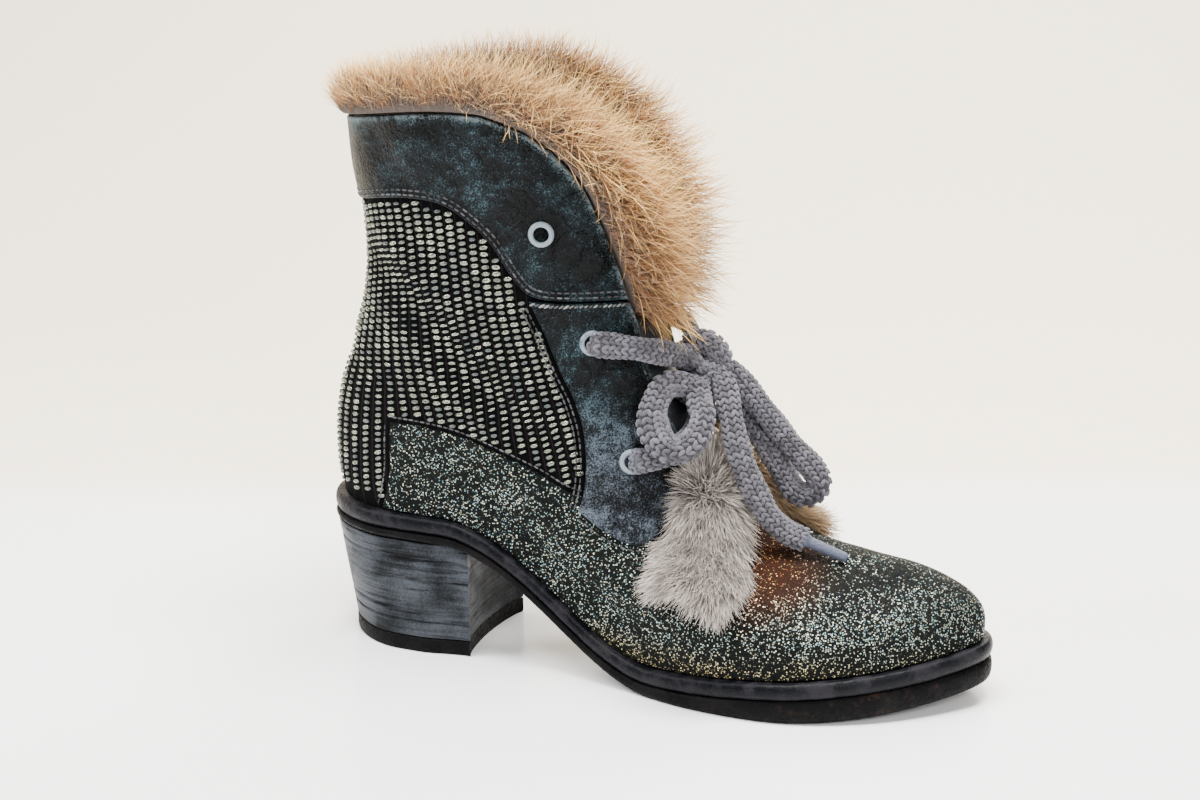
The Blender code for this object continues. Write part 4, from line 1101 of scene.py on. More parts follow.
crackle = Finish("crackled leather", paint(14, 17, 20), 0.45, specular_ior_level=0.1)
grain = crackle.noise(0.6, 4.0, 0.7)
mottle = crackle.noise(15.0, 4.0, 0.6)
blotch = crackle.noise(3.4, 4.0, 0.65)
bent_place = crackle.shaken(0.012, 6.0, 4.0, 0.6)
crease = crackle.ease(crackle.cells(12.0, bent_place, "DISTANCE_TO_EDGE"), 0.07, 0.0)
low_part = crackle.ease(crackle.coordinate(2), 0.125, 0.08)
rub = crackle.attribute("rub")
left_on = crackle.ease(
    grain * 1.5 + mottle * 0.9 + blotch * 0.5 + rub * 0.34 + low_part * 0.17, 1.50, 1.86)
ground = crackle.mix(paint(2, 3, 4), paint(7, 13, 16), crackle.ease(mottle, 0.42, 0.62))
foil = crackle.mix(paint(74, 98, 106), paint(92, 101, 112), low_part)
foil = crackle.mix(foil, paint(104, 112, 114), rub)
crackle.feed("Base Color", crackle.mix(ground, foil, left_on))
crackle.feed("Metallic", left_on * 0.4)
crackle.feed("Roughness", crackle.ease(left_on + blotch * 0.4, 0.2, 1.0, 0.36, 0.55))
crackle.feed("Normal", crackle.bump(
    blotch * 0.6 + mottle * 1.6 - crease * 0.35 + left_on * 0.12 + grain * 0.15, 1.5, 1.0))

yoke_line = side_curve(YOKE_LINE)
seam_level = float(yoke_line[-1, 0])
lower_half = yoke_line[::-1]
lower_half[-1, 1] = 0.0
lower_line = np.concatenate([lower_half, lower_half[-2::-1] * (1.0, -1.0)])
seam_angle = float(lower_line[0, 1])
EDGE_TURN = 0.93
edge_levels = np.linspace(seam_level, EDGE_TURN, 60)
start_share = seam_angle / float(throat_reach(seam_level))
outer_edge = np.column_stack([edge_levels, throat_reach(edge_levels) * blend(start_share, 1.0, smooth(
    np.linspace(0.0, 8.0, 60)))])
rise = np.linspace(EDGE_TURN, 1.0, 60)
crest = np.column_stack([rise, throat_reach(rise)])
round_top = np.column_stack([np.ones(200), np.linspace(crest[-1, 1], 0.0, 200)])
upper_half = np.concatenate([crest, round_top[1:]])
upper_line = np.concatenate([upper_half, upper_half[-2::-1] * (1.0, -1.0)])
yoke_grid = patch(lower_line, upper_line, outer_edge, outer_edge * (1.0, -1.0), 60, 320)
yoke = leather_panel("collar_yoke_leather", yoke_grid, PANEL_LOW, PANEL_HIGH, crackle,
                     ("top", "left", "right"))
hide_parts("collar_yoke")


# Lacing tabs
# Long tongues of the same crackled leather carry the eyelets down each side of the throat. They
# are sewn under the yoke at the cross seam and over the vamp at their round toe ends.
TAB_BACK = (
    # x, z: from the cross seam down the back edge
    (54.0, 143.6), (60.0, 131.0), (65.0, 118.0), (70.5, 107.0), (74.0, 96.0), (75.3, 85.0), (75.3, 74.0),
    (73.5, 66.0),
)
TAB_FOOT = ((73.5, 66.0), (82.0, 60.0), (91.0, 55.5), (97.5, 54.5), (103.5, 59.0), (110.0, 67.0))
TAB_FRONT = ((110.0, 67.0), (111.3, 71.0), (111.5, 77.0))
TAB_TOP = ((54.0, 143.6), (60.0, 143.5), (84.0, 143.1))
TAB_THROAT = 0.43


tab_top = side_curve(TAB_TOP)
tab_back = side_curve(TAB_BACK)
tab_foot = side_curve(TAB_FOOT)
rise = np.linspace(TAB_THROAT, float(tab_top[-1, 0]), 80)
tab_edge = np.column_stack([rise, throat_reach(rise)])
tab_top[-1] = tab_edge[-1]
front_side = np.concatenate([side_curve(TAB_FRONT)[:-20], tab_edge])
for side, word in ((1.0, "lateral"), (-1.0, "medial")):
    grid = patch(tab_foot, tab_top, tab_back[::-1], front_side, 110, 56) * (1.0, side)
    tab = leather_panel("lace_tab_" + word, grid, PANEL_LOW, PANEL_HIGH, crackle,
                        ("right",))
    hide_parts("lace_facing_" + word)


# Beadwork
# The cloth panel is covered with pale woven beads of thread, in warps that run up the shaft and
# close rows across them. They thin out and lean where the ankle folds.
BEAD_WIDTH, BEAD_HEIGHT, BEAD_DEPTH = 3.1, 1.75, 1.7
BEAD_SEED = 4
BEAD_SPREAD = 0.13


class Tree:
    """A Geometry Nodes tree under construction, with named inputs."""

    def __init__(self, name, inputs):
        self.group = bpy.data.node_groups.new(name, "GeometryNodeTree")
        face = self.group.interface
        face.new_socket("Geometry", in_out="OUTPUT", socket_type="NodeSocketGeometry")
        face.new_socket("Geometry", in_out="INPUT", socket_type="NodeSocketGeometry")
        for label, kind in inputs:
            face.new_socket(label, in_out="INPUT", socket_type="NodeSocket" + kind)
        self.start = self.group.nodes.new("NodeGroupInput")
        self.end = self.group.nodes.new("NodeGroupOutput")

    def given(self, label):
        return self.start.outputs[label]

    def node(self, kind, settings=None, values=None, output=0):
        made = self.group.nodes.new(kind)
        for name, value in (settings or {}).items():
            setattr(made, name, value)
        for socket, value in (values or {}).items():
            if isinstance(value, bpy.types.NodeSocket):
                self.group.links.new(value, made.inputs[socket])
            else:
                made.inputs[socket].default_value = value
        return made.outputs[output]

    def field(self, name, kind="FLOAT"):
        return self.node("GeometryNodeInputNamedAttribute", {"data_type": kind}, {"Name": name})

    def finish(self, geometry, finish):
        real = self.node("GeometryNodeRealizeInstances", None, {0: geometry})
        painted = self.node("GeometryNodeSetMaterial", None, {"Geometry": real, "Material": finish})
        self.group.links.new(painted, self.end.inputs[0])
        return self.group


def setting_tree():
    """Tree that sets a form on every point of a mesh, turned and sized by the point's numbers."""
    tree = Tree("set out a form", (
        ("Form", "Object"), ("Spread", "Float"), ("Seed", "Int"), ("Finish", "Material")))
    form = tree.node("GeometryNodeObjectInfo", None, {"Object": tree.given("Form")}, "Geometry")
    turn = tree.node("FunctionNodeEulerToRotation", None, {0: tree.field("turn", "FLOAT_VECTOR")})
    set_out = tree.node("GeometryNodeInstanceOnPoints", None, {
        "Points": tree.given("Geometry"), "Instance": form, "Rotation": turn,
        "Scale": tree.field("size", "FLOAT_VECTOR")})
    low = tree.node("ShaderNodeMath", {"operation": "SUBTRACT"}, {0: 1.0, 1: tree.given("Spread")})
    high = tree.node("ShaderNodeMath", {"operation": "ADD"}, {0: 1.0, 1: tree.given("Spread")})
    chance = tree.node("FunctionNodeRandomValue", {"data_type": "FLOAT"}, {
        "Min": low, "Max": high, "Seed": tree.given("Seed")}, 1)
    sized = tree.node("GeometryNodeScaleInstances", None, {"Instances": set_out, "Scale": chance})
    hue = tree.node("FunctionNodeRandomValue", {"data_type": "FLOAT"}, {
        "Seed": tree.given("Seed")}, 1)
    tinted = tree.node("GeometryNodeStoreNamedAttribute", {"data_type": "FLOAT", "domain": "INSTANCE"}, {
        "Geometry": sized, "Name": "hue", "Value": hue})
    return tree.finish(tinted, tree.given("Finish"))


def run_tree(name, base_mesh, group, values):
    """Plain mesh object that a tree makes from a mesh; the modifier and the base are removed."""
    base = link_object(name + "_base", base_mesh)
    growth = base.modifiers.new("growth", "NODES")
    growth.node_group = group
    for item in group.interface.items_tree:
        if item.item_type == "SOCKET" and item.in_out == "INPUT" and item.name in values:
            growth[item.identifier] = values[item.name]
    bpy.context.view_layer.update()
    graph = bpy.context.evaluated_depsgraph_get()
    mesh = bpy.data.meshes.new_from_object(
        base.evaluated_get(graph), preserve_all_data_layers=True, depsgraph=graph)
    mesh.name = name
    base.modifiers.remove(growth)
    bpy.data.objects.remove(base)
    return link_object(name, mesh)


SET_OUT = setting_tree()


def turns_of(along_way, outward):
    """Euler turns that lay a form's X along one way and its Z outward."""
    z = unit(outward)
    y = unit(np.cross(z, along_way))
    x = np.cross(y, z)
    return np.column_stack([
        np.arctan2(y[:, 2], z[:, 2]), -np.arcsin(np.clip(x[:, 2], -1.0, 1.0)),
        np.arctan2(x[:, 1], x[:, 0])])


def set_out(name, form, points, along_way, outward, sizes, finish, spread, seed):
    """Copies of a form at points in millimetres, as one plain mesh."""
    base = make_mesh(name + "_points", points, np.zeros((0, 4), int), numbers={
        "turn": turns_of(along_way, outward), "size": sizes})
    return run_tree(name, base, SET_OUT, {
        "Form": form, "Spread": spread, "Seed": seed, "Finish": finish.material})


def pillow_form(name, around, rings, power=2.6):
    """Small rounded form of unit size along X, Y and Z, to be set out many times."""
    points, faces = [], []
    for i in range(1, rings):
        lean = math.pi * i / rings - math.pi / 2.0
        for j in range(around):
            turn = 2.0 * math.pi * j / around
            girth = math.cos(lean)
            side = np.array((math.sin(lean), girth * math.cos(turn), girth * math.sin(turn)))
            points.append(side / (np.abs(side) ** power).sum() ** (1.0 / power) * 0.5)
    count = len(points)
    points += [(-0.5, 0.0, 0.0), (0.5, 0.0, 0.0)]
    for i in range(rings - 2):
        for j in range(around):
            k = (j + 1) % around
            faces.append((i * around + j, i * around + k, (i + 1) * around + k, (i + 1) * around + j))
    bm = bmesh.new()
    verts = [bm.verts.new(Vector(point) * MM) for point in points]
    for face in faces:
        bm.faces.new([verts[n] for n in face])
    last = (rings - 2) * around
    for j in range(around):
        k = (j + 1) % around
        bm.faces.new((verts[count], verts[k], verts[j]))
        bm.faces.new((verts[count + 1], verts[last + j], verts[last + k]))
    return bpy.data.objects.new(name, written(bm, bpy.data.meshes.new(name), True))


def inside_line(x, z, outline):
    """Whether side-view points lie inside a closed outline."""
    corners = np.array(outline)
    held = np.zeros(len(x), bool)
    for (x1, z1), (x2, z2) in zip(corners, np.roll(corners, -1, axis=0)):
        if z1 == z2:
            continue
        crosses = (z1 > z) != (z2 > z)
        held ^= crosses & (x < (x2 - x1) * (z - z1) / (z2 - z1) + x1)
    return held


CLOTH_OUTLINE = (
    # x, z: the cloth left bare by the yoke, the tabs and the vamp's wing
    (-60.0, 174.5), (-19.0, 172.8), (-8.0, 175.6), (4.0, 177.6), (17.0, 177.6), (24.5, 175.4), (31.0, 170.6),
    (38.7, 164.8), (43.4, 156.4), (49.0, 147.5), (53.4, 138.5), (58.6, 130.0), (63.5, 117.3), (69.0, 106.6),
    (72.3, 95.6), (73.6, 85.0), (73.4, 75.5), (69.0, 75.2), (58.6, 80.2), (46.2, 85.2), (33.4, 89.3),
    (20.4, 92.4), (8.0, 93.3), (-5.5, 93.3), (-6.8, 90.0), (-9.6, 56.0), (-60.0, 52.0),
)
bead = pillow_form("bead_form", 8, 5)
places, ways, outs, sizes = [], [], [], []
fine_levels = np.linspace(0.035, 0.97, 260)
for column in range(-BEAD_COLUMNS, BEAD_COLUMNS + 1):
    turn = [float(column_angle(level, np.array([column + 1e-6]))[0]) for level in fine_levels[::4]]
    turn = np.interp(fine_levels, fine_levels[::4], turn)
    lengths = lengths_along(skin(fine_levels, turn, 0.0))
    stops = np.arange(BEAD_PITCH * (0.5 if column % 2 else 0.0), lengths[-1], BEAD_PITCH)
    level = np.interp(stops, lengths, fine_levels)
    angle = np.interp(stops, lengths, turn)
    spot = skin(level, angle, BEAD_DEPTH * 0.18)
    held = inside_line(spot[:, 0], spot[:, 2], CLOTH_OUTLINE)
    level, angle, spot = level[held], angle[held], spot[held]
    if not len(spot):
        continue
    rise = skin(level + 0.01, angle, 0.0) - skin(level - 0.01, angle, 0.0)
    outward = surface_normal(level, angle)
    across = np.cross(rise, outward)
    fold = np.abs(relief(spot + (0.0, 0.0, 3.0)) - relief(spot - (0.0, 0.0, 3.0)))
    lean = np.random.default_rng(column + 100).normal(0.0, 0.07, len(spot))
    lean = lean + 0.3 * np.clip(fold, 0.0, 0.8)
    across = unit(across) + unit(rise) * lean[:, None]
    squeeze = 1.0 - 0.35 * np.clip(fold, 0.0, 1.0)
    places.append(spot)
    ways.append(across)
    outs.append(outward)
    sizes.append(np.column_stack([
        BEAD_WIDTH * np.ones(len(spot)), BEAD_HEIGHT * squeeze, BEAD_DEPTH * squeeze]))

bead_thread = Finish("bead thread", paint(96, 98, 90), 0.27, specular_ior_level=0.5)
strands = bead_thread.noise(0.55, 2.0, 0.5)
hue = bead_thread.attribute("hue")
tone = bead_thread.mix(paint(46, 56, 54), paint(144, 148, 132), hue)
bead_thread.feed("Base Color", bead_thread.mix(
    bead_thread.mix(tone, paint(26, 28, 26), bead_thread.ease(strands, 0.50, 0.70)),
    paint(52, 52, 40), bead_thread.ease(bead_thread.noise(16.0, 3.0), 0.5, 0.75) * 0.6))
bead_thread.feed("Metallic", bead_thread.ease(hue, 0.1, 0.8) * 0.85)
bead_thread.feed("Normal", bead_thread.bump(strands, 0.2))
beads = set_out(
    "beadwork", bead, np.concatenate(places), np.concatenate(ways), np.concatenate(outs),
    np.concatenate(sizes), bead_thread, BEAD_SPREAD, BEAD_SEED)
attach(beads, "root")


# Seams
# Waxed thread holds the panels down: two rows beside the yoke's edge, a pale twisted row on the
# cross seam, and a single row inside the edges of the tabs and of the vamp's wing.
STITCH_LENGTH, STITCH_WIDTH = 2.1, 0.75


def seam(line, inset, lift=PANEL_HIGH, pitch=2.6, slant=0.0, length=STITCH_LENGTH, width=STITCH_WIDTH):
    """Stitches beside a line of levels and angles on the upper."""
    lengths = lengths_along(skin(line[:, 0], line[:, 1], np.full(len(line), lift)))
    stops = np.arange(pitch, lengths[-1] - pitch / 2.0, pitch)
    level = np.interp(stops, lengths, line[:, 0])
    angle = np.interp(stops, lengths, line[:, 1])
    spot = skin(level, angle, np.full(len(level), lift))
    way = unit(np.gradient(spot, axis=0))
    out = surface_normal(level, angle)
    beside = np.cross(out, way)
    spot = spot + beside * inset
    way = way + beside * slant
    return spot, way, out, np.tile((length, width, width), (len(spot), 1))


def sew(name, seams, finish, seed):
    rows = [np.concatenate(parts) for parts in zip(*seams)]
    made = set_out(name, stitch, *rows, finish, 0.1, seed)
    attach(made, "root")


stitch = pillow_form("stitch_form", 6, 4, 2.2)
dark_thread = Finish("dark waxed thread", paint(30, 30, 34), 0.5)
dark_thread.feed("Base Color", dark_thread.mix(
    paint(10, 10, 12), paint(70, 70, 74), dark_thread.attribute("hue") ** 2.0))
pale_thread = Finish("pale twisted thread", paint(150, 152, 150), 0.55)
pale_thread.feed("Base Color", pale_thread.mix(
    paint(44, 48, 52), paint(120, 122, 118), pale_thread.attribute("hue")))
cross_top = side_curve(((54.0, 144.6), (60.0, 143.8), (85.5, 143.4)))
plain_seams, pale_seams = [], []
for side in (1.0, -1.0):
    for line, inset in ((tab_back, -1.7), (tab_back, -3.4), (tab_foot, -2.0), (tab_edge, 2.2)):
        plain_seams.append(seam(line * (1.0, side), inset * side))
    pale_seams.append(seam(
        cross_top * (1.0, side), -1.6 * side, PANEL_HIGH + 0.1, 1.75, 0.55 * side, 2.5, 1.0))
    for line in (top_line, rear_line):
        plain_seams.append(seam(line * (1.0, side), 2.0 * side, VAMP_HIGH, 2.4))
for inset in (-1.5, -3.3):
    plain_seams.append(seam(lower_line, inset))
sew("dark_seams", plain_seams, dark_thread, 7)
sew("cross_seam", pale_seams, pale_thread, 9)


# Eyelets
# Rolled metal eyelets are set through the leather on each side. The top pair keeps its pale
# enamel; the others are worn to steel where the lace runs over them.
EYELET_SEAT = 2.2
EYELET_PLACES = (
    # name, along, up, enamel
    ("top", 0.381, 0.761, 1.0),
    ("middle", 0.447, 0.490, 0.25),
    ("lower", 0.504, 0.194, 0.1),
)
EYELET_PROFILE = (
    # radius, height above the leather's face
    (2.85, 0.2), (2.87, 0.8), (3.0, 1.15), (3.3, 1.34), (3.7, 1.36), (4.15, 1.2), (4.5, 0.8), (4.7, 0.35),
    (4.75, 0.0), (4.6, -0.12), (3.4, -0.1), (3.4, -4.2), (3.2, -4.4), (2.85, -4.4),
)
EYELET_STEPS = 48


def lathe(profile, steps, centre, outward):
    """Points and faces of a closed turned form on an axis."""
    axis = unit(outward)
    first = unit(np.cross(axis, (0.0, 0.0, 1.0)))
    second = np.cross(axis, first)
    turn = np.linspace(0.0, 2.0 * math.pi, steps, endpoint=False)
    rings = []
    for radius, height in profile:
        ring = centre + axis * height + radius * (
            np.cos(turn)[:, None] * first + np.sin(turn)[:, None] * second)
        rings.append(ring)
    rings.append(rings[0])
    return np.concatenate(rings), grid_faces(len(rings), steps, wrap=True)


def eyelet_finish(name, enamel):
    """Worn finish of an eyelet: enamel is how much of its paint is left."""
    made = Finish(name, paint(150, 160, 170), 0.3)
    scuff = made.noise(1.3, 4.0, 0.7)
    low, high = (0.66, 0.8) if enamel > 0.5 else (0.62 - enamel * 0.5, 0.74 - enamel * 0.5)
    left = made.ease(scuff, low, high, 1.0, 0.0)
    made.feed("Base Color", made.mix(
        made.mix(paint(24, 31, 40), paint(88, 100, 114), scuff), paint(116, 126, 134), left))
    made.feed("Metallic", 0.9 - left * 0.9)
    made.feed("Roughness", made.ease(scuff, 0.3, 0.7, 0.22, 0.45))
    made.feed("Normal", made.bump(scuff, 0.12))
    return made


eyelet_spots = {}
for word, place, rise, enamel in EYELET_PLACES:
    finish = eyelet_finish(f"eyelet metal {word}", enamel)
    for side, side_word in ((-1.0, "lateral"), (1.0, "medial")):
        level, angle = from_side(along(place), HEEL_SEAM + rise * SHAFT_HEIGHT, side)
        spot, out = loop_point(level, angle), surface_normal(level, angle)
        eyelet_spots[word, side_word] = (spot, out)
        points, quads = lathe(EYELET_PROFILE, EYELET_STEPS, spot + out * EYELET_SEAT, out)
        mesh = make_mesh(f"eyelet_{word}_{side_word}_ring", points, quads)
        close_mesh(mesh)
        made = link_object(mesh.name, mesh, [finish])
        shade_smooth(made, 50.0)
        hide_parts(f"eyelet_{word}_{side_word}")
        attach(made, "root")


# Fur
# Long soft fur on a hide edges the collar and lines its rim: taupe at the roots, golden at the
# tips, combed up and forward. Two loose tufts hang over the vamp, the near one pale.
FUR_CLEARANCE = 0.9
FUR_REACH, FUR_DEPTH = 20.0, 12.0
FUR_FORM = (
    # share of the way, reach, depth, inside, lean
    (0.00, 0.75, 0.70, 0.25, 1.6),
    (0.12, 1.05, 0.90, 0.25, 1.6),
    (0.30, 1.15, 1.00, 0.30, 1.2),
    (0.45, 1.10, 1.00, 0.40, 0.8),
    (0.60, 0.95, 1.00, 0.60, 0.2),
    (1.00, 0.80, 0.95, 0.70, 0.0),
)
HAIR_FORM = (
    # share of the way, length as a share of the longest, forward, down
    (0.00, 1.45, 2.2, 1.7),
    (0.08, 1.65, 2.2, 0.8),
    (0.20, 1.75, 2.0, 0.1),
    (0.32, 1.50, 1.4, 0.0),
    (0.45, 1.20, 0.8, 0.0),
    (0.60, 0.98, 0.3, 0.0),
    (1.00, 0.85, 0.15, 0.0),
)
FUR_CORE = (
    # past the edge, out of the leather: section of the hide that the hairs grow from
    (0.02, 0.28), (0.16, 0.40), (0.34, 0.36), (0.46, 0.16), (0.48, -0.12), (0.40, -0.44), (0.26, -0.66),
    (0.04, -0.74),
)
FUR_STEPS = 150
THROAT_GAP = 1.2
FLAP_WIDTH, FLAP_DEPTH, FUR_SEAT = 38.0, 11.0, 0.8
TUFT_STEPS, TUFT_ROWS = 24, 28
TUFT_CORE = (0.72, 0.6)
OUTER_FLAP = (
    # level, angle, width, thickness
    (0.44, 165.0, 0.24, 0.32),
    (0.40, 159.0, 0.47, 0.55),
    (0.34, 147.0, 0.79, 0.91),
    (0.26, 132.0, 1.00, 1.00),
    (0.17, 117.0, 0.95, 0.82),
    (0.12, 109.0, 0.47, 0.45),
)
INNER_FLAP = (
    # level, angle, width, thickness
    (0.44, 166.0, 0.24, 0.32),
    (0.40, 162.0, 0.47, 0.55),
    (0.34, 154.0, 0.63, 0.82),
    (0.28, 148.0, 0.74, 0.82),
    (0.22, 140.0, 0.74, 0.64),
    (0.18, 134.0, 0.42, 0.36),
)


def hair_form(name, length, width, bend, steps=5):
    """One tapered hair along Z that bends towards X, to be set out many times."""
    points, faces = [], []
    for i in range(steps):
        share = i / steps
        half = width / 2.0 * (1.0 - share) ** 0.7
        middle = (bend * share ** 2 * length, length * share * (1.0 - 0.25 * abs(bend) * share))
        points += [(middle[0], -half, middle[1]), (middle[0], half, middle[1])]
    points.append((bend * length, 0.0, length * (1.0 - 0.25 * abs(bend))))
    mesh = bpy.data.meshes.new(name)
    for i in range(steps - 1):
        faces.append((2 * i, 2 * i + 1, 2 * i + 3, 2 * i + 2))
    faces.append((2 * steps - 2, 2 * steps - 1, 2 * steps))
    mesh.from_pydata([Vector(point) * MM for point in points], [], faces)
    field = mesh.attributes.new("along", "FLOAT", "POINT")
    shares = [i / steps for i in range(steps) for _ in range(2)] + [1.0]
    field.data.foreach_set("value", shares)
    for face in mesh.polygons:
        face.use_smooth = True
    return bpy.data.objects.new(name, mesh)


def fur_tree():
    """Tree that grows hairs on a hide, combed by its way and in locks that lean together."""
    tree = Tree("grow fur", (
        ("Hair", "Object"), ("Density", "Float"), ("Shortest", "Float"), ("Longest", "Float"),
        ("Stray", "Float"), ("Lock Size", "Float"), ("Lock Lean", "Float"), ("Seed", "Int"),
        ("Finish", "Material")))
    hair = tree.node("GeometryNodeObjectInfo", None, {"Object": tree.given("Hair")}, "Geometry")
    thick = tree.node("ShaderNodeMath", {"operation": "MULTIPLY"}, {
        0: tree.field("thick"), 1: tree.given("Density")})
    dots = tree.node("GeometryNodeDistributePointsOnFaces", {"distribute_method": "RANDOM"}, {
        "Mesh": tree.given("Geometry"), "Density": thick, "Seed": tree.given("Seed")})
    spot = tree.node("GeometryNodeInputPosition")
    scaled = tree.node("ShaderNodeVectorMath", {"operation": "DIVIDE"}, {0: spot, 1: tree.given("Lock Size")})
    locks = tree.node("ShaderNodeTexNoise", None, {"Vector": scaled, "Scale": 1.0, "Detail": 1.0}, "Color")
    centred = tree.node("ShaderNodeVectorMath", {"operation": "SUBTRACT"}, {0: locks, 1: (0.5, 0.5, 0.5)})
    leaned = tree.node("ShaderNodeVectorMath", {"operation": "SCALE"}, {
        0: centred, "Scale": tree.given("Lock Lean")})
    chance = tree.node("FunctionNodeRandomValue", {"data_type": "FLOAT_VECTOR"}, {
        0: (-1.0, -1.0, -1.0), 1: (1.0, 1.0, 1.0), "Seed": tree.given("Seed")}, 0)
    strayed = tree.node("ShaderNodeVectorMath", {"operation": "SCALE"}, {
        0: chance, "Scale": tree.given("Stray")})
    way = tree.node("ShaderNodeVectorMath", {"operation": "ADD"}, {
        0: tree.field("way", "FLOAT_VECTOR"), 1: leaned})
    way = tree.node("ShaderNodeVectorMath", {"operation": "ADD"}, {0: way, 1: strayed})
    roll_seed = tree.node("ShaderNodeMath", {"operation": "ADD"}, {0: tree.given("Seed"), 1: 1.0})
    roll = tree.node("FunctionNodeRandomValue", {"data_type": "FLOAT"}, {
        "Min": -math.pi, "Max": math.pi, "Seed": roll_seed}, 1)
    rolled = tree.node("FunctionNodeAxisAngleToRotation", None, {"Axis": (0.0, 0.0, 1.0), "Angle": roll})
    turn = tree.node("FunctionNodeAlignRotationToVector", {"axis": "Z"}, {"Vector": way})
    turn = tree.node("FunctionNodeRotateRotation", {"rotation_space": "LOCAL"}, {0: turn, 1: rolled})
    size_seed = tree.node("ShaderNodeMath", {"operation": "ADD"}, {0: tree.given("Seed"), 1: 2.0})
    size = tree.node("FunctionNodeRandomValue", {"data_type": "FLOAT"}, {
        "Min": tree.given("Shortest"), "Max": tree.given("Longest"), "Seed": size_seed}, 1)
    size = tree.node("ShaderNodeMath", {"operation": "MULTIPLY"}, {0: size, 1: tree.field("tall")})
    grown = tree.node("GeometryNodeInstanceOnPoints", None, {
        "Points": dots, "Instance": hair, "Rotation": turn, "Scale": size})
    hue = tree.node("FunctionNodeRandomValue", {"data_type": "FLOAT"}, {"Seed": size_seed}, 1)
    tinted = tree.node("GeometryNodeStoreNamedAttribute", {"data_type": "FLOAT", "domain": "INSTANCE"}, {
        "Geometry": grown, "Name": "hue", "Value": hue})
    return tree.finish(tinted, tree.given("Finish"))


GROW_FUR = fur_tree()


def fur_finish(name, root, middle, tip, root_end, tip_start):
    """Fur coloured from its roots to its tips, with every hair a little different."""
    made = Finish(name, middle, 0.55, specular_ior_level=0.3, sheen_weight=0.2)
    along_hair = made.attribute("along") + (made.attribute("hue") - 0.5) * 0.3
    shade = made.noise(9.0, 3.0)
    ramp = made.node("ShaderNodeValToRGB", {"stops": (
        (0.0, root), (root_end, root), ((root_end + tip_start) / 2.0, middle), (tip_start, tip),
        (1.0, tip))}, {"Fac": along_hair})
    height = made.coordinate(2)
    low_down = made.ease(height + shade * 0.02, 0.205, 0.165) * made.ease(height, 0.13, 0.14)
    made.feed("Base Color", made.mix(
        made.mix(ramp, middle, made.ease(shade, 0.42, 0.72) * 0.6), paint(138, 96, 58), low_down * 0.55))
    return made


def grow_fur(name, hide_mesh, hair, density, lengths, stray, lock, lean, seed, finish):
    """Hairs on a hide as one plain mesh."""
    made = run_tree(name, hide_mesh, GROW_FUR, {
        "Hair": hair, "Density": density, "Shortest": lengths[0], "Longest": lengths[1], "Stray": stray,
        "Lock Size": lock * MM, "Lock Lean": lean, "Seed": seed, "Finish": finish.material})
    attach(made, "root")


golden_fur = fur_finish(
    "golden fur", paint(78, 66, 60), paint(158, 108, 58), paint(255, 212, 128), 0.34, 0.9)
pale_fur = fur_finish(
    "pale fur", paint(58, 52, 48), paint(116, 108, 103), paint(198, 188, 178), 0.15, 0.85)
brown_fur = fur_finish(
    "brown fur", paint(64, 54, 46), paint(128, 104, 76), paint(190, 162, 124), 0.2, 0.8)
hide_finish = Finish("hide", paint(96, 82, 72), 0.9)
hide_finish.feed("Base Color", hide_finish.mix(
    paint(52, 44, 40), paint(78, 66, 58), hide_finish.noise(2.0, 3.0)))

# The collar's hide follows the leather's edge from the outer side of the throat round to the inner.
climb = np.linspace(0.705, 0.999, 46)
half_path = np.column_stack([climb, throat_reach(climb)])
turns = np.linspace(float(throat_reach(1.0)), 0.0, 46)
half_path = np.concatenate([half_path, np.column_stack([np.ones(45), turns[1:]])])
path = np.concatenate([half_path, half_path[-2::-1] * (1.0, -1.0)])
edge_points = loop_point(path[:, 0], path[:, 1])
lengths = lengths_along(edge_points)
stops = np.linspace(0.0, lengths[-1], FUR_STEPS)
level = np.interp(stops, lengths, path[:, 0])
angle = np.interp(stops, lengths, path[:, 1])
edge_points = loop_point(level, angle)
edge_out = surface_normal(level, angle)
edge_past = unit(np.cross(np.gradient(edge_points, axis=0), edge_out))
for _ in range(3):
    edge_past[1:-1] = (edge_past[:-2] + edge_past[1:-1] * 2.0 + edge_past[2:]) / 4.0
share = 1.0 - np.abs(2.0 * stops / stops[-1] - 1.0)
reach = FUR_REACH * read_table(FUR_FORM, 1, share)
depth = FUR_DEPTH * read_table(FUR_FORM, 2, share)
inside_drop = FUR_REACH * read_table(FUR_FORM, 3, share)
lean = unit(edge_past + np.column_stack([read_table(FUR_FORM, 4, share), 0.0 * share, 0.0 * share]))
rim = edge_points + edge_past * FUR_CLEARANCE
lining_gap = edge_out * -(WALL + 2 * GAP)
hem_line = edge_points - edge_past * inside_drop[:, None] + lining_gap
section = [rim + lining_gap * 0.9, rim + edge_out * 1.2]
section += [rim + lean * (b * reach)[:, None] + edge_out * (o * depth)[:, None] for b, o in FUR_CORE]
section += [hem_line - edge_out * (0.5 * depth)[:, None], hem_line - edge_out * 0.1]
hide = np.stack(section, axis=1)
side = np.sign(edge_points[:, 1])[:, None]
apart = side * np.maximum(side * hide[..., 1], THROAT_GAP)
hide[..., 1] = np.where(level[:, None] < EDGE_TURN, apart, hide[..., 1])
count = hide.shape[1]
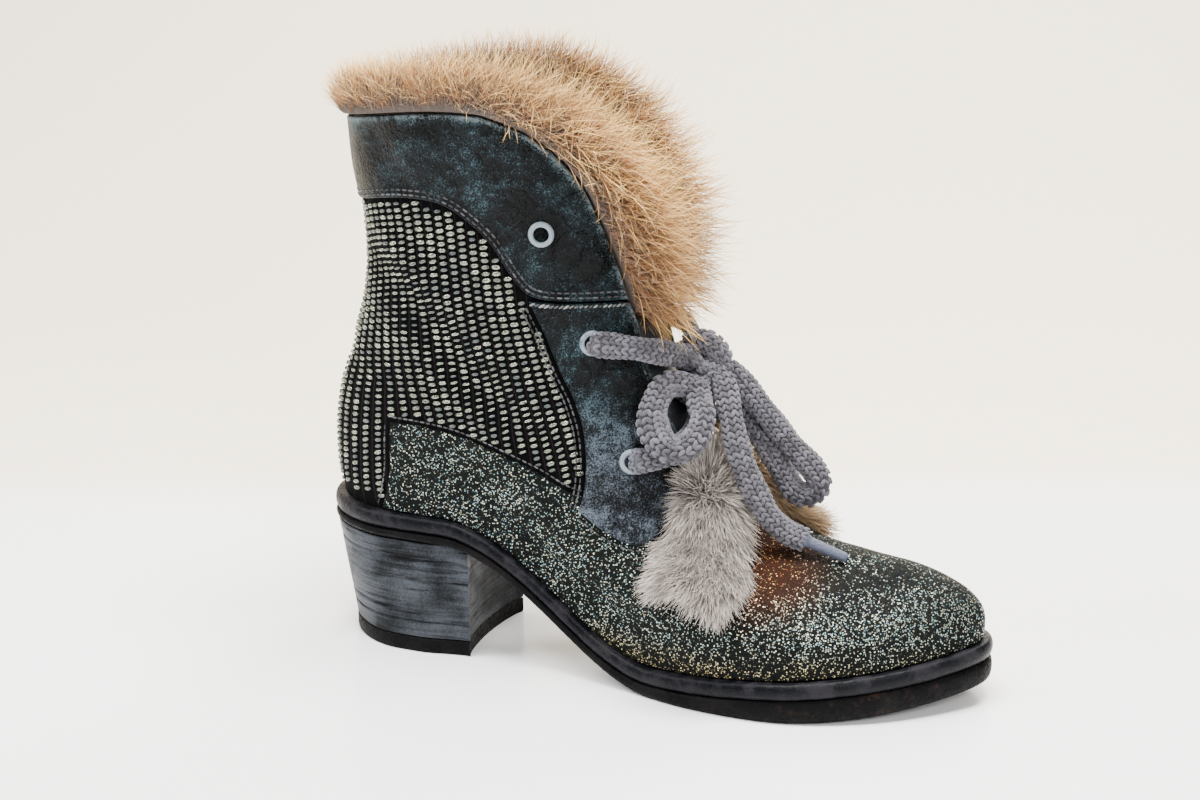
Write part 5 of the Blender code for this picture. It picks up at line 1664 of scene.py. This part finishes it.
# Hairs stand out of the leather near the edge, run past it over the top, and hang inside.
over = np.linspace(0.0, 1.0, count)
out_part = np.interp(over, (0.0, 0.2, 0.45, 0.7, 1.0), (0.3, 0.85, 0.25, -0.35, -0.8))
past_part = np.interp(over, (0.0, 0.2, 0.45, 0.7, 1.0), (0.8, 0.62, 1.0, 0.8, 0.1))
combed = unit(edge_past + np.column_stack([
    read_table(HAIR_FORM, 2, share), 0.0 * share, -read_table(HAIR_FORM, 3, share)]))
outward_share = blend(1.0, 0.45, smooth((share - 0.35) / 0.3))
way = combed[:, None, :] * past_part[None, :, None] + edge_out[:, None, :] * (
    out_part[None, :, None] * outward_share[:, None, None] * 0.8)
way = unit(way)
tall = read_table(HAIR_FORM, 1, share)[:, None] * np.interp(
    over, (0.0, 0.15, 0.5, 0.8, 1.0), (0.55, 0.85, 0.9, 0.7, 0.5))[None, :]
thick = np.tile(np.interp(over, (0.0, 0.05, 0.7, 1.0), (0.8, 1.0, 1.0, 0.5)), (FUR_STEPS, 1))
core = make_mesh("fur_hide", hide, grid_faces(FUR_STEPS, count, wrap=True))
bm = bmesh.new()
bm.from_mesh(core)
open_edges = [edge for edge in bm.edges if edge.is_boundary]
first_end = [edge for edge in open_edges if max(vert.index for vert in edge.verts) < count]
bmesh.ops.contextual_create(bm, geom=first_end)
bmesh.ops.contextual_create(bm, geom=[edge for edge in bm.edges if edge.is_boundary])
collar_hide = link_object("fur_hide", written(bm, core), [hide_finish])
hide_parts("fur_collar")
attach(collar_hide, "root")
long_hair = hair_form("long_hair", 19.0, 0.32, 0.5)
FUR_SPANS = 4
for span in range(FUR_SPANS):
    low = span * (FUR_STEPS - 1) // FUR_SPANS
    high = (span + 1) * (FUR_STEPS - 1) // FUR_SPANS + 1
    rows = slice(low, high)
    patch_mesh = make_mesh(
        "collar_hide_patch", hide[rows], grid_faces(high - low, count), numbers={
            "way": way[rows].reshape(-1, 3), "tall": tall[rows].ravel(), "thick": thick[rows].ravel()})
    grow_fur(f"collar_fur_{span + 1}", patch_mesh, long_hair, 1.9e6, (0.45, 1.15), 0.36, 4.5, 0.8,
             11 + span, golden_fur)


def tuft(name, rows, side, node, density, hair, finish, seed):
    """A hanging tuft: a small hide on the vamp and the hairs that fall from it."""
    stations = curve_through(np.array(rows), 30)
    turn = -side * np.radians(stations[:, 1])
    out = surface_normal(stations[:, 0], turn)
    half_w = stations[:, 2] * FLAP_WIDTH / 2.0
    half_d = stations[:, 3] * FLAP_DEPTH / 2.0
    centre = loop_point(stations[:, 0], turn) + out * (FUR_SEAT + half_d)[:, None]
    fall = unit(np.gradient(centre, axis=0))
    beside = unit(np.cross(fall, out))
    phase = np.linspace(0.0, 2.0 * math.pi, TUFT_STEPS, endpoint=False)
    ring = centre[:, None, :] + (
        beside[:, None, :] * (half_w[:, None] * np.cos(phase) * TUFT_CORE[0])[..., None]
        + out[:, None, :] * (half_d[:, None] * np.sin(phase) * TUFT_CORE[1])[..., None])
    ring = ring[:TUFT_ROWS]
    fall, beside, out = (part[:TUFT_ROWS, None, :] for part in (fall, beside, out))
    way = fall + beside * (np.cos(phase) * 0.55)[None, :, None] + (
        out * (np.maximum(np.sin(phase), -0.1) * 0.6)[None, :, None])
    way = way - fall * np.linspace(2.4, -4.0, TUFT_ROWS).clip(0.0)[:, None, None]
    tall = np.ones((TUFT_ROWS, TUFT_STEPS)) * np.linspace(0.85, 1.0, TUFT_ROWS)[:, None]
    thick = np.ones((TUFT_ROWS, TUFT_STEPS)) * (np.sin(phase) > -0.3)[None, :]
    quads = grid_faces(TUFT_ROWS, TUFT_STEPS, wrap=True)
    mesh = make_mesh(name + "_hide", ring, quads)
    bm = bmesh.new()
    bm.from_mesh(mesh)
    bmesh.ops.holes_fill(bm, edges=bm.edges)
    body = link_object(name + "_hide", written(bm, mesh), [hide_finish])
    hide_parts(node)
    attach(body, "root")
    patch_mesh = make_mesh(name + "_patch", ring, quads, numbers={
        "way": way.reshape(-1, 3), "tall": tall.ravel(), "thick": thick.ravel()})
    grow_fur(name, patch_mesh, hair, density, (0.5, 1.15), 0.3, 4.5, 1.1, seed, finish)


straight_hair = hair_form("straight_hair", 13.0, 0.36, 0.25)
tuft("pale_tuft", OUTER_FLAP, -1.0, "fur_flap_lateral", 1.1e7, straight_hair, pale_fur, 31)
tuft("brown_tuft", INNER_FLAP, 1.0, "fur_flap_medial", 9.0e6, straight_hair, brown_fur, 37)


# Lace
# A thick tube of grey-violet knit, squeezed through the eyelets and tied in a bow over the throat.
# One loop stands on the near side, the other hangs down the front; both ends are bound.
OUTER_LOOP = (
    (0.586, -0.32, 0.382), (0.550, -0.56, 0.390), (0.540, -0.80, 0.333), (0.552, -0.91, 0.279),
    (0.578, -0.91, 0.249), (0.601, -0.82, 0.272), (0.607, -0.64, 0.320), (0.595, -0.50, 0.350),
)
# Stretches of lace between the eyelets and the knot, on the outer side; the inner side mirrors them.
LACE_BAR = (
    (0.482, -0.77, 0.490), (0.511, -0.71, 0.485), (0.536, -0.53, 0.470), (0.556, -0.23, 0.447),
)
LACE_CROSSING = (
    (0.529, -0.82, 0.209), (0.555, -0.76, 0.225), (0.578, -0.52, 0.252), (0.584, -0.18, 0.289),
    (0.571, 0.11, 0.343), (0.556, 0.24, 0.378),
)
KNOT_PLACE = (0.578, 0.00, 0.428)
INNER_LOOP = (
    (0.612, 0.04, 0.413), (0.634, 0.09, 0.367), (0.664, 0.20, 0.292), (0.697, 0.30, 0.211),
    (0.727, 0.36, 0.150), (0.738, 0.37, 0.108), (0.722, 0.35, 0.078), (0.698, 0.31, 0.095),
    (0.676, 0.27, 0.165), (0.645, 0.27, 0.249), (0.611, 0.29, 0.326),
)
OUTER_END = (
    (0.615, -0.17, 0.393), (0.634, -0.36, 0.323), (0.649, -0.45, 0.242), (0.670, -0.45, 0.151),
    (0.693, -0.41, 0.076), (0.718, -0.35, 0.031), (0.744, -0.30, 0.011),
)
INNER_END = (
    (0.586, 0.24, 0.391), (0.588, 0.62, 0.330), (0.595, 0.91, 0.259), (0.611, 1.11, 0.188),
    (0.630, 1.24, 0.117), (0.651, 1.32, 0.049), (0.670, 1.35, -0.012),
)
LACE_HALF_WIDTH, LACE_HALF_DEPTH = 4.2, 2.5
LACE_WALES, LACE_PITCH = 8, 2.4
LACE_FACE = np.array((0.36, -0.89, 0.28))


def lace_place(point):
    """Place on the boot of a point of the lace's tables."""
    return np.array((along(point[0]), point[1] * SHAFT_HALF, HEEL_SEAM + point[2] * SHAFT_HEIGHT))


def smooth_route(points, steps):
    """Catmull-Rom curve through a route's points."""
    rows = [np.array(point, float) for point in points]
    rows = [2 * rows[0] - rows[1]] + rows + [2 * rows[-1] - rows[-2]]
    route = []
    for i in range(1, len(rows) - 2):
        before, start, end, after = rows[i - 1:i + 3]
        for j in range(steps):
            t = j / steps
            route.append(0.5 * (
                2 * start + (end - before) * t
                + (2 * before - 5 * start + 4 * end - after) * t ** 2
                + (3 * start - before - 3 * end + after) * t ** 3))
    route.append(rows[-2])
    return np.array(route)


def frames_along(route, face):
    """Unit ways along, across and out of a flat cord whose broad side looks towards face."""
    way = unit(np.gradient(route, axis=0))
    out = face - way * (way @ face)[:, None]
    for _ in range(12):
        out[1:-1] = (out[:-2] + out[1:-1] * 2.0 + out[2:]) / 4.0
    out = unit(out - way * (out * way).sum(axis=1)[:, None])
    return way, np.cross(out, way), out


def oval_tube(name, route, face, widths, depths, around=20):
    """Closed tube of oval section along a route."""
    way, beside, out = frames_along(route, face)
    phase = np.linspace(0.0, 2.0 * math.pi, around, endpoint=False)
    rings = route[:, None, :] + (
        beside[:, None, :] * (widths[:, None] * np.cos(phase))[..., None]
        + out[:, None, :] * (depths[:, None] * np.sin(phase))[..., None])
    points = np.concatenate([rings.reshape(-1, 3), route[:1], route[-1:]])
    quads = grid_faces(len(route), around, wrap=True)
    mesh = make_mesh(name, points, quads)
    bm = bmesh.new()
    bm.from_mesh(mesh)
    bm.verts.ensure_lookup_table()
    ends = ((0, len(points) - 2), ((len(route) - 1) * around, len(points) - 1))
    for first, middle in ends:
        for j in range(around):
            bm.faces.new((bm.verts[first + j], bm.verts[first + (j + 1) % around], bm.verts[middle]))
    return written(bm, mesh, True)


def even_route(route, step):
    """Points about a step apart along a route, and its length."""
    lengths = lengths_along(route)
    places = np.linspace(0.0, lengths[-1], max(int(lengths[-1] / step) + 1, 4))
    return np.column_stack([np.interp(places, lengths, column) for column in route.T]), lengths[-1]


def joined(name, parts):
    """One object from several, which are removed."""
    bm = bmesh.new()
    for part in parts:
        bm.from_mesh(part.data)
    mesh = bpy.data.meshes.new(name)
    finish = parts[0].data.materials[0]
    bm.to_mesh(mesh)
    bm.free()
    mesh.materials.append(finish)
    for part in parts:
        bpy.data.objects.remove(part)
    return link_object(name, mesh)


def knit_cord(name, points, face=LACE_FACE, pinch=(), seed=0, scale=1.0):
    """Knitted lace through points in millimetres: a soft tube under rows of slanted stitches."""
    route, length = even_route(smooth_route(points, 8), 1.0)
    places = np.linspace(0.0, length, len(route))
    squeeze = np.full(len(route), scale)
    for spot, amount, spread in pinch:
        spot = spot if spot >= 0 else length + spot
        squeeze *= 1.0 - amount * np.exp(-((places - spot) / spread) ** 2)
    uneven = 1.0 + 0.05 * np.sin(places / 3.1 + seed) + 0.04 * np.sin(places / 7.7 + 2.0 * seed)
    widths = LACE_HALF_WIDTH * squeeze * uneven
    depths = LACE_HALF_DEPTH * squeeze * (2.0 - uneven)
    core = oval_tube(name + "_core", route, face, widths * 0.9, depths * 0.88)
    tube = link_object(core.name, core, [lace_knit])
    way, beside, out = frames_along(route, face)
    stops = np.arange(LACE_PITCH / 2.0, length, LACE_PITCH)
    spots, ways, outs, sizes = [], [], [], []

    def at(values):
        return np.column_stack([np.interp(stops, places, column) for column in values.T])

    middle, way_at, beside_at, out_at = at(route), at(way), at(beside), at(out)
    wide, deep = np.interp(stops, places, widths), np.interp(stops, places, depths)
    for wale in range(LACE_WALES):
        for leg in (-1.0, 1.0):
            phase = 2.0 * math.pi * (wale + 0.5 + leg * 0.22) / LACE_WALES
            spot = middle + beside_at * (wide * math.cos(phase))[:, None] + out_at * (
                deep * math.sin(phase))[:, None]
            round_way = unit(out_at * (deep * math.cos(phase))[:, None]
                             - beside_at * (wide * math.sin(phase))[:, None])
            outward = np.cross(round_way, way_at)
            outward = outward * np.sign((outward * (spot - middle)).sum(axis=1))[:, None]
            spots.append(spot)
            ways.append(way_at + round_way * leg * 0.55)
            outs.append(outward)
            share = wide / LACE_HALF_WIDTH
            sizes.append(np.column_stack([3.1 * np.ones(len(stops)), 1.45 * share, 1.2 * share]))
    stitches = set_out(
        name + "_stitches", stitch, np.concatenate(spots), np.concatenate(ways), np.concatenate(outs),
        np.concatenate(sizes), lace_knit, 0.08, seed + 50)
    made = joined(name, [tube, stitches])
    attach(made, "root")
    return made, route, length


lace_knit = Finish("lace knit", paint(70, 68, 76), 0.9, sheen_weight=0.2)
ply = lace_knit.noise(0.45, 3.0, 0.6)
fade = lace_knit.noise(26.0, 2.0)
lace_knit.feed("Base Color", lace_knit.mix(
    lace_knit.mix(paint(20, 19, 23), paint(100, 97, 106), lace_knit.attribute("hue") * 0.6 + ply * 0.5),
    paint(104, 106, 122), lace_knit.ease(fade, 0.5, 0.7) * 0.4))
lace_knit.feed("Normal", lace_knit.bump(ply, 0.35))
binding = Finish("lace binding", paint(92, 98, 118), 0.6)
wrap = binding.noise(0.5, 2.0, 0.5, binding.stretched((0.4, 0.4, 1.0)))
binding.feed("Base Color", binding.mix(paint(36, 40, 54), paint(82, 88, 108), wrap))
binding.feed("Normal", binding.bump(wrap, 0.25))

knot = lace_place(KNOT_PLACE)
middle_spot, middle_out = eyelet_spots["middle", "lateral"]
lower_spot, lower_out = eyelet_spots["lower", "lateral"]
for side, word in ((1.0, "lateral"), (-1.0, "medial")):
    flip = np.array((1.0, side, 1.0))
    bar = [lace_place(point) for point in LACE_BAR]
    bar = [middle_spot - middle_out * 3.0, middle_spot + middle_out * 3.4 + (1.8, 0.0, 0.0)] + bar
    bar.append(knot + (bar[-1] - knot) * 0.3)
    made, _, _ = knit_cord("bar_" + word, [point * flip for point in bar], LACE_FACE * flip,
                           ((0.0, 0.45, 4.0),), 3 + int(side))
    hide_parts("lace_bar_" + word)
strands = []
for side, set_back in ((1.0, 0.0), (-1.0, 5.5)):
    flip = np.array((1.0, side, 1.0))
    run = [lace_place(point) for point in LACE_CROSSING]
    run = [lower_spot - lower_out * 3.0, lower_spot + lower_out * 3.4 + (1.8, 0.0, 0.6)] + run
    run = [point * flip - (set_back * math.exp(-(point[1] / 9.0) ** 2), 0.0, 0.0) for point in run]
    made, _, _ = knit_cord("strand", run, LACE_FACE * flip, ((0.0, 0.45, 4.0),), 6 + int(side))
    strands.append(made)
crossing = joined("crossing", strands)
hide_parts("lace_crossing")
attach(crossing, "root")

turn = np.linspace(-0.15, 1.25, 9) * 2.0 * math.pi
wrap_points = [knot + (7.0 * math.cos(t), 1.2 * math.sin(t / 2.0), 7.2 * math.sin(t)) for t in turn]
band, _, _ = knit_cord("knot_band", wrap_points, np.array((0.1, -1.0, 0.05)), (), 12, 0.95)
inner_wrap = [knot + (4.4 * math.sin(t), 6.4 * math.cos(t), 2.6 * math.sin(2.0 * t)) for t in turn]
heart, _, _ = knit_cord("knot_heart", inner_wrap, np.array((0.1, 0.1, 1.0)), (), 13, 0.85)
knot_piece = joined("bow_knot", [band, heart])
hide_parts("lace_knot")
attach(knot_piece, "root")


def bow_part(name, table, node, seed, tip=None, both=False, fullest=None):
    """A free stretch of the bow, with a bound tip where one is named."""
    points = [lace_place(point) for point in table]
    points.insert(0, knot + (points[0] - knot) * 0.5)
    pinch = [(0.0, 0.3, 7.0)]
    if both:
        points.append(knot + (points[-1] - knot) * 0.5)
        pinch.append((-0.01, 0.3, 7.0))
    if fullest:
        pinch.append((fullest, -0.25, 15.0))
    made, route, length = knit_cord(name, points, LACE_FACE, pinch, seed)
    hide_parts(node)
    if tip:
        end, way = points[-1], unit(points[-1] - points[-2])
        line = np.array([end + way * reach for reach in np.linspace(-2.0, GAP + 16.0, 40)])
        share = np.linspace(0.0, 1.0, 40)
        radius = np.interp(share, (0.0, 0.1, 0.2, 0.94, 1.0), (3.2, 2.9, 2.05, 1.9, 1.5))
        radius = radius + 0.09 * np.sin(share * 120.0)
        mesh = oval_tube(tip + "_binding", line, LACE_FACE, radius, radius * 0.92)
        end_piece = link_object(tip + "_binding", mesh, [binding])
        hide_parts(tip)
        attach(end_piece, "root")
    path, _ = even_route(route, 4.0)
    tuple(route[0] * MM)
    length * MM
    [tuple(p * MM) for p in path]


bow_part("near_loop", OUTER_LOOP, "lace_loop_lateral", 21, both=True, fullest=42.0)
bow_part("far_loop", INNER_LOOP, "lace_loop_medial", 22, both=True)
bow_part("near_end", OUTER_END, "lace_end_lateral", 23, tip="lace_tip_lateral")
bow_part("far_end", INNER_END, "lace_end_medial", 24, tip="lace_tip_medial")

# Size
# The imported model's box and the dressed boot's, kept side by side so that they can be compared.
low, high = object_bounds()
sizes = {
    "cad": [[float(v) for v in cad_low], [float(v) for v in cad_high]],
    "visual": [[float(v) for v in low], [float(v) for v in high]],
}
